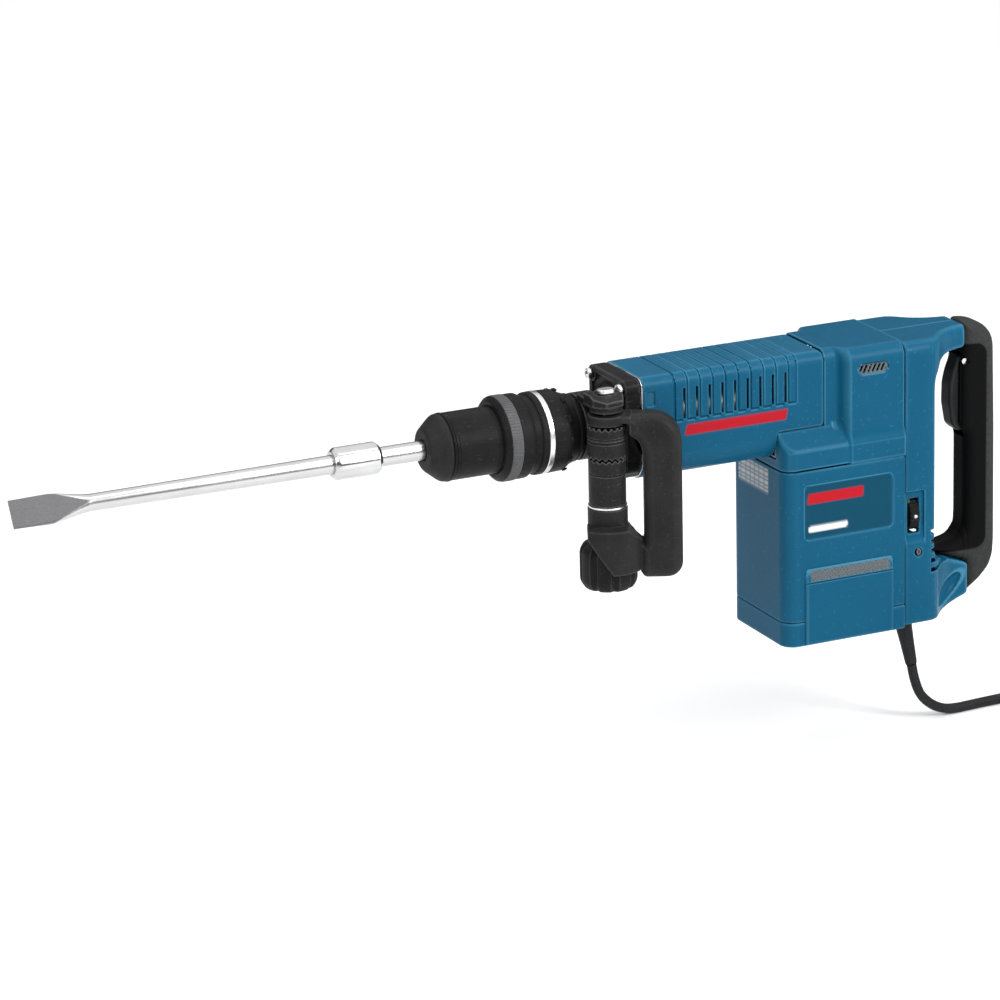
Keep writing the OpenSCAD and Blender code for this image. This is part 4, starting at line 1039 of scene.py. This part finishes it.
cover_cuts = np.concatenate([[x + d for d in (-0.9, -0.3, 0.3, 0.9)] for x in grooves]
                            + [[x + d for d in (8.7, 9.4, 11.0, 11.7)]
                               for x in grooves[:-1]] + [[grooves[-1] + d for d in (7.4, 8, 8.6)]])
blue_striped = blue_moulding("blue_cover", {"stripe": (0.36, 0.008, 0.016)})
fit(moulded("barrel_cover_shell", barrel_field, (0, -39, -52), (barrel_l, 39, 47),
            (1.9, 1.45, 1.45), blue_striped, np.unique(cover_cuts.round(3)),
            stripe=cover_stripe), "housing", "blue_shell", "barrel_cover")

# ---------------------------------------------------------------- upper and motor housings
# Two blue shells hold the motor: the upper one steps out from the barrel's width with a sloping
# shoulder, the lower one carries a sunk name panel. The cap below closes the motor housing.
rear_x, motor_half, upper_half, seam_z, cap_z, base_z = 264, 54.5, 52, -60, -206, -230
vent_x, vent_z, panel_x, panel_z, motor_axis_x = 231, 28, 203.5, -101, 200.2
blue_plain = blue_moulding("blue_shell", {"vent": (0.10, 0.12, 0.13)})


def plan_field(p, inset=0.0, back=rear_x):
    half = motor_half - inset
    near, far = motor_x + inset, back + 40
    field = round_box(p[0] - (near + far) / 2, p[1], (far - near) / 2, half, 14 - inset)
    return np.maximum(field, p[0] - back)


def deck_half(x):
    share = np.clip((x - 198) / 10, 0, 1)
    return cover_half + (upper_half - cover_half) * share * share * (3 - 2 * share)


def shoulder_half(z):
    return motor_half - np.clip((z + 42) * 0.86, 0, 15.2)


def upper_field(p):
    x, y, z = p
    deck = section_field((x, y * upper_half / deck_half(x), z), upper_half, seam_z - 20, 48, 12, 1)
    deck = both(deck, both(slab(x, barrel_l + 0.2, rear_x - 0.6), seam_z + 0.6 - z), 0.8)
    shoulder = both((np.abs(y) - shoulder_half(z)) * 0.76, plan_field(p, 0, rear_x - 0.6), 2.5)
    shoulder = both(shoulder, slab(z, seam_z + 0.6, skirt - 0.4), 1.0)
    body = join(deck, shoulder, np.where(x > 193, 6.0, 0.01) + 0 * y)
    inner = section_field((x, y * 49 / (deck_half(x - 5) - 3), z), 49, -120, 45, 9, 1)
    inner = both(inner, slab(x, 180, rear_x - 3))
    inner_low = np.maximum(np.abs(y) - shoulder_half(z) + 3.6, plan_field(p, 3, rear_x - 3))
    inner_low = both(inner_low, z + 28)
    body = cut(cut(body, inner), inner_low)
    body = cut(body, box_field(p, (rear_x - 5, -40, -90), (rear_x + 3, 40, 37)))
    body = cut(body, box_field(p, (motor_x - 3, -36, -50.5), (motor_x + 4, 36, 0)))
    body = cut(body, box_field(p, (motor_x + 3, -36, -90), (rear_x - 10, 36, 0)))
    vent = round_box(x - vent_x, z - vent_z, 15.5, 5, 4.9)
    body = cut(body, np.maximum(vent, 51 - np.abs(y)), 0.3)
    comb = np.abs((x - (z - vent_z) * 0.5 - 216) % 4.6 - 2.3) - 1.1
    louvre = np.maximum(comb, round_box(x - vent_x, z - vent_z, 14.2, 3.8, 3.6))
    return cut(body, np.maximum(louvre, 40 - np.abs(y)))


def vent_mark(p):
    return inked(round_box(p[0] - vent_x, p[2] - vent_z, 15, 4.7, 4.6)) * (np.abs(p[1]) > 48)


fit(moulded("upper_motor_shell", upper_field, (motor_x, -55, seam_z), (rear_x, 55, 48),
            (1.5, 1.7, 1.5), blue_plain, vent=vent_mark), "housing", "blue_shell",
    "upper_housing")


def motor_field(p):
    body = both(plan_field(p, 0, rear_x - 0.6), slab(p[2], cap_z + 0.3, seam_z - 0.6), 0.7)
    inner = both(plan_field(p, 3, rear_x - 3), slab(p[2], cap_z - 20, seam_z + 20))
    body = cut(body, inner)
    body = cut(body, box_field(p, (rear_x - 6, -30, -198), (rear_x + 3, 30, -68)))
    panel = round_box(p[0] - panel_x, p[2] - panel_z, 46.5, 26, 5)
    return cut(body, np.maximum(panel, motor_half - 1 - np.abs(p[1])), 0.4)


def panel_mark(p):
    panel = round_box(p[0] - panel_x, p[2] - panel_z, 45.6, 25.1, 4.4)
    return inked(panel) * (np.abs(p[1]) > upper_half)


def red_bar(p):
    lean = p[0] - (p[2] + 87) * 0.1
    return inked(round_box(lean - 190, p[2] + 88, 29, 5.2, 1.5)) * (np.abs(p[1]) > upper_half)


def white_bar(p):
    lean = p[0] - (p[2] + 117) * 0.25
    return inked(round_box(lean - 182, p[2] + 117, 20, 2.6, 0.8)) * (np.abs(p[1]) > upper_half)


def rating_plate(p):
    rows = (np.abs((p[2] + 88) % 4.2 - 2.1) < 1.1) * (np.abs((p[1] + 21) % 9 - 4.5) < 3.6)
    plate = inked(round_box(p[1] - 8.5, p[2] + 76.5, 29.5, 12, 1))
    return plate * (p[0] < motor_x + 1) * (0.25 + 0.55 * rows)


panel_blue = blue_moulding("blue_motor_shell", {
    "panel": (0.0015, 0.048, 0.088), "red_bar": (0.38, 0.008, 0.016),
    "white_bar": (0.82, 0.83, 0.84), "rating": (0.55, 0.56, 0.55)})
fit(moulded("motor_shell", motor_field, (motor_x, -55, cap_z), (rear_x, 55, seam_z), 1.7,
            panel_blue, panel=panel_mark, red_bar=red_bar, white_bar=white_bar,
            rating=rating_plate), "housing", "blue_shell", "motor_housing")


def cap_field(p):
    body = both(plan_field(p, 0, rear_x - 0.6), slab(p[2], base_z, cap_z - 0.5), 1.6)
    inner = both(plan_field(p, 3, rear_x - 3), slab(p[2], base_z + 3, cap_z + 20))
    body = cut(body, inner)
    reach = np.hypot(p[0] - motor_axis_x, p[1])
    boss = both(reach - 15, slab(p[2], base_z + 1, -198))
    body = join(body, boss, 1)
    bulge = both(round_box(p[1], p[2] + 230, 30, 7, 5), slab(p[0], 163, 203), 3)
    body = join(body, bulge, 1.5)
    body = cut(body, both(reach - 11.02, slab(p[2], -208.02, -190)))
    return cut(body, both(reach - 8, slab(p[2], base_z + 6, -200)))


fit(moulded("motor_cap", cap_field, (motor_x, -55, -237), (rear_x, 55, -198), 1.6, blue_plain),
    "housing", "blue_shell", "bottom_cap")


def cover_door_field(p):
    out = 57.4 - np.clip((p[2] + 167) / 13, 0, 1) * 2.6
    body = both(slab(p[0], 157.2, 249.8), slab(p[2], -228.8, -153.4), 3)
    body = both(both(body, np.abs(p[1]) - out, 2.2), motor_half + 0.02 - np.abs(p[1]))
    body = cut(body, np.maximum(slab(p[2], -168.9, -168.0), 56.2 - np.abs(p[1])))
    teeth = np.abs((p[0] + p[2] * 0.6) % 3.0 - 1.5) - 0.7
    band = np.maximum(slab(p[2], -166.6, -157.5), slab(p[0], 163, 245))
    return cut(body, np.maximum(np.maximum(teeth, band), out - 0.55 - np.abs(p[1])))


def door_vent(p):
    band = np.maximum(slab(p[2], -167, -157), slab(p[0], 162.5, 245.5))
    return inked(band) * (np.abs(p[1]) > motor_half + 0.3)


fit(moulded("brush_doors", cover_door_field, (157, -58, -229), (250, 58, -153),
            (0.9, 0.7, 0.95), blue_plain, vent=door_vent), "housing", "blue_shell",
    "brush_covers")

# ---------------------------------------------------------------- rear housing
# Two blue halves, split down the middle, close the motor from behind and reach back in two arms
# that carry the grip. Three socket screws sit in sunk holes on the dial's side.
wall_x, head_top = 298, 49.2
rear_outline = eased(
    [(264, 47), (347, 47), (347, 24), (323, 23), (308, 19), (300, 10), (wall_x, 1),
     (wall_x, -162), (wall_x + 6, -171), (352, -190), (352, -220), (309, -230), (264, -230)], 4)
half_at = np.array([(255, 52), (292, 52), (299, 50.5), (304, 46), (310, 38), (318, 30.5),
                    (328, 24.5), (340, 20.5), (356, 17.5)], float)
rear_screw_spots = [(279, -158), (283, 10), (283, -60)]


def rear_half_width(x):
    near = np.interp(x - 2, *half_at.T) + np.interp(x + 2, *half_at.T)
    return near / 2


def rear_shell(p, inset=0.0):
    x, y, z = p
    half = rear_half_width(x)
    body = section_field((x, y * 52 / half, z), 52 - inset * 52 / 50, base_z + inset,
                         cover_top - inset, 12 - inset, 5)
    return both(body * 0.85, outline_field(rear_outline, x, z) + inset, 3.5)


def rear_field(p, side):
    x, y, z = p
    body = both(rear_shell(p), rear_x + 0.9 - x, 0.5)
    body = cut(body, np.maximum(rear_shell(p, 3.0), x - 303))
    if side < 0:
        body = join(body, box_field(p, (265.2, -51.5, -154), (290, -44, -93)))
        pocket = box_field(p, (260, -60, -150), (285, -40, -98), 1)
        ramp = y + 49.4 + np.clip(-136 - z, 0, 14) * 0.17
        body = cut(body, np.maximum(pocket, ramp), 0.5)
        body = cut(body, box_field(p, (268.6, -70, -139), (280.6, -20, -105), 0.8), 0.4)
    reach_x, reach_z, sunk = x - 325, z + 209, np.abs(y) - rear_half_width(x)
    scoop = np.sqrt(((reach_x * 0.87 + reach_z * 0.5) / 21) ** 2
                    + ((reach_z * 0.87 - reach_x * 0.5) / 8.5) ** 2 + (sunk / 5.5) ** 2)
    body = cut(body, (scoop - 1) * 5.5, 1.5)
    for i in range(5):
        body = cut(body, both(slab(z, -143 - i * 9.3, -138.6 - i * 9.3), wall_x - 5 - x), 0.3)
    body = cut(body, box_field(p, (262, -30, -198), (268, 30, -68)))
    body = cut(body, np.maximum(np.hypot(x - 288, y) - 10.5, z + 200))
    for spot_x, spot_z in rear_screw_spots:
        reach = np.hypot(x - spot_x, z - spot_z)
        body = join(body, both(reach - 5.6, np.abs(y) - 50), 0.3)
        top = 70 if spot_z < -100 else head_top
        body = cut(body, np.maximum(np.maximum(reach - 4.2, y + 48.1), -top - y), 0.3)
        body = cut(body, np.maximum(reach - 2.6, slab(y, -49, 15)))
    return both(body, y + 0.12 if side < 0 else 0.12 - y)


for side, node in ((-1, "rear_housing_left"), (1, "rear_housing_right")):
    bounds = ((264, -53, -231), (352, 0.2, 48)) if side < 0 else ((264, -0.2, -231), (352, 53, 48))
    fit(moulded("rear_shell_near" if side < 0 else "rear_shell_far",
                lambda p: rear_field(p, side), *bounds, (1.35, 1.3, 1.45), blue_plain),
        "housing", "blue_shell", node)


def pins_field(p):
    solid = np.inf
    for spot_x, spot_z in rear_screw_spots:
        reach = np.hypot(p[0] - spot_x, p[2] - spot_z)
        top = -50.6 if spot_z < -100 else -49
        head = both(reach - 3.95, slab(p[1], top, -48.1), 0.5)
        head = cut(head, np.maximum(reach - 1.9, p[1] + 49.4))
        solid = np.minimum(solid, join(head, both(reach - 2.5, slab(p[1], -49, 0.8))))
    return solid


# painted shade: the screws in the sunk holes get a much darker copy of the steel
fit(moulded("rear_cap_screws", pins_field, (279, -51, -164), (287, 1, 14), (0.55, 0.7, 0.55),
            bright_steel("shaded_steel", 0.07, 0.2, 0.36)), "housing", "screw_steel",
    "rear_screws")

pale_blue = blue_moulding("pale_blue", {"vent": (0.11, 0.34, 0.50)}, 0.28)


def strip_field(p):
    body = both(round_box(p[1], p[2] + 37.5, 26, 35.5, 3), slab(p[0], wall_x + 0.02, 304.5), 1.2)
    for across in (-16, 16):
        body = cut(body, np.maximum(np.abs(p[1] - across) - 0.7, 303.7 - p[0]), 0.3)
    return body


fit(moulded("rear_pad", strip_field, (wall_x, -27, -74), (305, 27, -1), 1.0, pale_blue,
            vent=lambda p: 0.9 + 0 * p[0]), "housing", "blue_light", "rear_strip")

# ---------------------------------------------------------------- rear grip and trigger
# Dark grey grip of soft textured rubber over a nylon core, fixed between the arms, and the long
# black switch trigger that turns about a pin through the grip. The dial sets the blow rate.
grip_outer = eased([(347.3, 24), (347.3, 47), (356, 47)]
                   + [(351 + 32 * math.cos(a), 20 + 27 * math.sin(a)) for a in arc[::-1]]
                   + [(384.5, -60), (385, -172), (384, -187), (379.5, -199), (369, -210),
                      (352.3, -221.5), (352.3, -190.2), (303.6, -171.2), (305, -169.4),
                      (328, -169), (343, -165.5), (350.4, -157), (351.5, -146), (351.5, -66),
                      (344.5, -54), (344.5, 4), (346, 16)], 4)


trigger_x, trigger_z, dial_y, dial_z = 350.5, 8, -38, -122


def grip_field(p):
    body = both(outline_field(grip_outer, p[0], p[2]), np.abs(p[1]) - 17, 11)
    seam = np.minimum(np.abs(p[0] - 347.3), np.abs(p[0] - 352.3) + 20 * (p[2] > -150))
    body = body + 0.5 * np.clip(1 - seam / 1.2, 0, 1)
    body = cut(body, box_field(p, (335, -10, -67), (364, 10, 17), 1), 0.8)
    return cut(body, np.hypot(p[0] - trigger_x, p[2] - trigger_z) - 3.03)


def grip_core(p):
    """The smooth black front of the grip, where the textured rubber stops."""
    return inked(round_box(p[0] - 320, p[2] + 76, 52, 101, 12), 1.2)


grip_rubber = Finish("rear_grip_rubber", Specular_IOR_Level=0.05)
crumb, cloud = grip_rubber.noise(330, 3), grip_rubber.noise(24, 3)
grip_tone = grip_rubber.mix(crumb * 0.6 + cloud * 0.4, rgba(0.014, 0.015, 0.015),
                            rgba(0.052, 0.054, 0.052))
grip_tone = grip_rubber.mix(grip_rubber.attribute("core"), grip_tone, rgba(0.003, 0.003, 0.003))
grip_rubber.surface(grip_tone, 0.6 + cloud * 0.12, crumb + grip_rubber.noise(900, 2), 0.2)
fit(moulded("rear_grip_cover", grip_field, (303, -17, -223), (386, 17, 48), 1.1,
            grip_rubber.material, core=grip_core), "housing", "grip_rubber", "rear_grip")
trigger_outline = eased([(355, 12.5), (346, 12.5), (340, -2), (337, -14), (336.4, -34),
                         (340, -55), (347, -61.5), (352, -59.5), (352, -20)], 3)


def trigger_field(p):
    body = both(outline_field(trigger_outline, p[0], p[2]), np.abs(p[1]) - 9.2, 3)
    return cut(body, np.hypot(p[0] - trigger_x, p[2] - trigger_z) - 3.05)


fit(moulded("switch_trigger_lever", trigger_field, (336, -10, -62), (356, 10, 13), 0.9,
            sleeve_black), "switch_trigger", "black_plastic", "trigger")


def dial_field(p):
    y, z = p[1] - dial_y, p[2] - dial_z
    reach, angle = np.hypot(y, z), np.arctan2(z, y)
    wheel = both(reach - 15.6 - 0.55 * np.cos(angle * 24), slab(p[0], 269.8, 279.4), 0.8)
    return cut(wheel, reach - 3)


def dial_dots(p):
    y, z = p[1] - dial_y, p[2] - dial_z
    turn = np.arctan2(z, y) * 3 / (2 * np.pi) + 0.5
    spot = np.hypot((turn - np.round(turn)) * 32, p[0] - 275)
    return np.clip(2.0 - spot, 0, 1) * (np.hypot(y, z) > 14)


dial_black = Finish("dial_black", Specular_IOR_Level=0.06)
dial_tone = dial_black.mix(dial_black.noise(60, 4), rgba(0.004, 0.004, 0.004),
                           rgba(0.014, 0.014, 0.015))
dial_tone = dial_black.mix(dial_black.attribute("dots"), dial_tone, rgba(0.7, 0.7, 0.7))
dial_black.surface(dial_tone, 0.4 + dial_black.noise(200, 2) * 0.1, dial_black.noise(900, 3), 0.05)
fit(moulded("speed_wheel", dial_field, (269, -55, -139), (280, -21, -105), 0.7,
            dial_black.material, dots=dial_dots), "dial", "black_plastic", "speed_dial")

# ---------------------------------------------------------------- strain relief, strap and plug
# Rubber moulded on the cable: a tapered sleeve where it leaves the base and a two pole plug at
# its end. A woven hook and loop strap holds the spare turns together.
boot_way = np.array([math.sin(boot_lean), 0, -math.cos(boot_lean)])


def boot_field(p):
    from_top = (p[0] - boot_pivot[0], p[1], p[2] - boot_pivot[2])
    along = from_top[0] * boot_way[0] + from_top[2] * boot_way[2]
    reach = np.hypot(from_top[0] * boot_way[2] - from_top[2] * boot_way[0], p[1])
    width = np.interp(along, [0, 8, 9.5, 18, 40, 61, 64], [9, 9, 8.4, 8.3, 6.8, 5.75, 5.35])
    taper = both(reach - width, slab(along, 0, 64), 0.8)
    taper = cut(taper, both(reach - 4.9, 60.5 - along))
    flange = both(np.hypot(from_top[0], p[1]) - 14, slab(p[2], -226.9, -222.1), 0.8)
    return join(taper, flange, 1.0)


fit(moulded("cable_sleeve", boot_field, (273, -14, -290), (306, 14, -222), (0.9, 0.9, 1.0),
            sheath.material), "housing", "cable_rubber", "cord_boot")

strap_out = eased([(-20.8, 0), (-20.8, 8), (-6.15, 36), (6.15, 36), (20.8, 8), (20.8, 0)], 2.5)
strap_in = eased([(-19.4, -3), (-19.4, 7.6), (-5.15, 34.6), (5.15, 34.6), (19.4, 7.6),
                  (19.4, -3)], 2)


def strap_field(p):
    across, up = p[0] - 419, p[2] + 348
    band = cut(outline_field(strap_out, across, up), outline_field(strap_in, across, up))
    flap = both(np.abs(outline_field(strap_out, across, up) - 0.1) - 0.5,
                slab(across, -14, 2 + 0 * up))
    return both(join(band, flap, 0.2), slab(p[1], -67.9, -56.1), 0.4)


woven = Finish("strap_weave", Specular_IOR_Level=0.1)
warp, weft = woven.noise(700, 1, (1, 0.12, 1)), woven.noise(700, 1, (0.12, 1, 0.12))
weave_tone = woven.mix(warp * 0.5 + weft * 0.5, rgba(0.008, 0.008, 0.009),
                       rgba(0.05, 0.05, 0.053))
fuzz = woven.noise(120, 4) > 0.62
woven.surface(woven.mix(fuzz * 0.4, weave_tone, rgba(0.08, 0.08, 0.085)),
              0.75 + warp * 0.15, warp + weft, 0.25)
strap = moulded("coil_strap", strap_field, (398, -68, -348), (440, -56, -311),
                (0.55, 0.9, 0.55), woven.material)
fit(strap, "housing", "tie_strap", "cord_tie")


plug_x, plug_y, plug_z, prong_gap = 559, -138, -329, 9.5


def plug_field(p):
    reach, y = np.hypot(p[0] - plug_x, p[2] - plug_z), plug_y - p[1]
    width = np.interp(y, [-16, -14, 20, 20.5, 52, 53], [5.6, 6.6, 12.6, 16, 18.9, 18.9])
    rib = np.where((y > -12) & (y < 18), 0.9 * np.clip(np.sin((y + 12) * 1.05) * 2.2, -1, 0), 0)
    body = both((reach - width - rib) * 0.8, slab(y, -16, 53), 1.6)
    for side in (-1, 1):
        waist = np.hypot(p[0] - plug_x - side * 42, p[2] - plug_z) - 24.5
        body = cut(body, waist + np.clip(26 - y, 0, 9), 2)
        prong = np.hypot(p[0] - plug_x - side * prong_gap, p[2] - plug_z) - 2.03
        body = cut(body, np.maximum(prong, 38 - y))
    return cut(body, np.maximum(reach - 4.8, y + 12))


plug = moulded("mains_plug", plug_field, (540, -191, -348), (578, -122, -310), 1.0,
               sheath.material)
fit(plug, "housing", "cable_rubber", "plug")


def pin_field(p):
    pins = np.inf
    for side in (-1, 1):
        reach, y = np.hypot(p[0] - plug_x - side * prong_gap, p[2] - plug_z), plug_y - p[1]
        pins = np.minimum(pins, join(both(reach - 2.4, slab(y, 53.3, 72), 1.2),
                                     both(reach - 2, slab(y, 38, 55))))
    return pins


pin_nickel = bright_steel("pin_nickel", 0.5, 0.72, 0.22)
prongs = moulded("plug_prongs", pin_field, (547, -210, -332), (571, -176, -326),
                 (0.5, 0.8, 0.5), pin_nickel)
fit(prongs, "housing", "pin_brass", "plug_pins")

# ---------------------------------------------------------------- hammer works and motor
# The parts inside keep their designed shapes. Ground steel slides in the cylinder, painted dark as
# painted shade; the gear case is sand cast alloy, and the motor has stacked laminations with
# copper windings.
# painted shade: this steel is given a darker colour so it reads as shaded through the slots
shade_darkened_steel = bright_steel("shade_darkened_steel", 0.10, 0.22, 0.34, (1, 0.05, 0.05))
paint_nodes(shade_darkened_steel, "cylinder", "striker", "piston", "beat_piece", "piston_pin")
gear_steel = bright_steel("cut_gear_steel", 0.2, 0.34, 0.3, (1, 1, 0.05))
paint_nodes(gear_steel, "connecting_rod", "crank_gear", "crankshaft", "pinion")
race_steel = bright_steel("race_steel", 0.45, 0.68, 0.16, (1, 1, 0.04))
paint_nodes(race_steel, "crank_bearing", "upper_motor_bearing", "lower_motor_bearing",
            "trigger_pin")

cast_alloy = Finish("sand_cast_alloy", Metallic=0.6)
sand, pits = cast_alloy.noise(260, 4), cast_alloy.noise(60, 3)
cast_tone = cast_alloy.mix(sand * 0.5 + pits * 0.5, rgba(0.10, 0.10, 0.105),
                           rgba(0.26, 0.265, 0.27))
cast_alloy.surface(cast_tone, 0.5 + pits * 0.2, sand + pits, 0.3)
paint_nodes(cast_alloy.material, "gear_case")

wound = Finish("wound_laminations", Metallic=0.5)
sheets = wound.noise(900, 2, (0.02, 0.02, 1))
copper = wound.noise(240, 2, (1, 1, 0.2)) > 0.54
stack = wound.mix(sheets, rgba(0.05, 0.048, 0.05), rgba(0.17, 0.165, 0.16))
wound.surface(wound.mix(copper * 0.55, stack, rgba(0.42, 0.15, 0.055)), 0.4 + sheets * 0.2,
              sheets, 0.15)
paint_nodes(wound.material, "armature", "stator")

fan_nylon = Finish("fan_nylon", Specular_IOR_Level=0.3)
streak = fan_nylon.noise(45, 4, (1, 1, 0.3))
fan_nylon.surface(fan_nylon.mix(streak, rgba(0.46, 0.43, 0.34), rgba(0.62, 0.59, 0.5)),
                  0.42 + streak * 0.15, fan_nylon.noise(700, 3), 0.04)
paint_nodes(fan_nylon.material, "fan")
paint_nodes(black_moulding("carbon_block", 0.012, 0.035, 0.55, 1600, 0.6, 0.12),
            "carbon_brushes")
paint_nodes(black_moulding("switch_black", 0.006, 0.014, 0.35, 900, 0.5, 0.05), "switch")

board = Finish("board_green", Specular_IOR_Level=0.4)
tracks = board.noise(150, 1, (1, 0.1, 1)) > 0.55
green = board.mix(board.noise(30, 3), rgba(0.006, 0.04, 0.015), rgba(0.012, 0.07, 0.025))
board.surface(board.mix(tracks * 0.5, green, rgba(0.03, 0.12, 0.05)), 0.35 + tracks * 0.1,
              tracks, 0.05)
paint_nodes(board.material, "control_board")
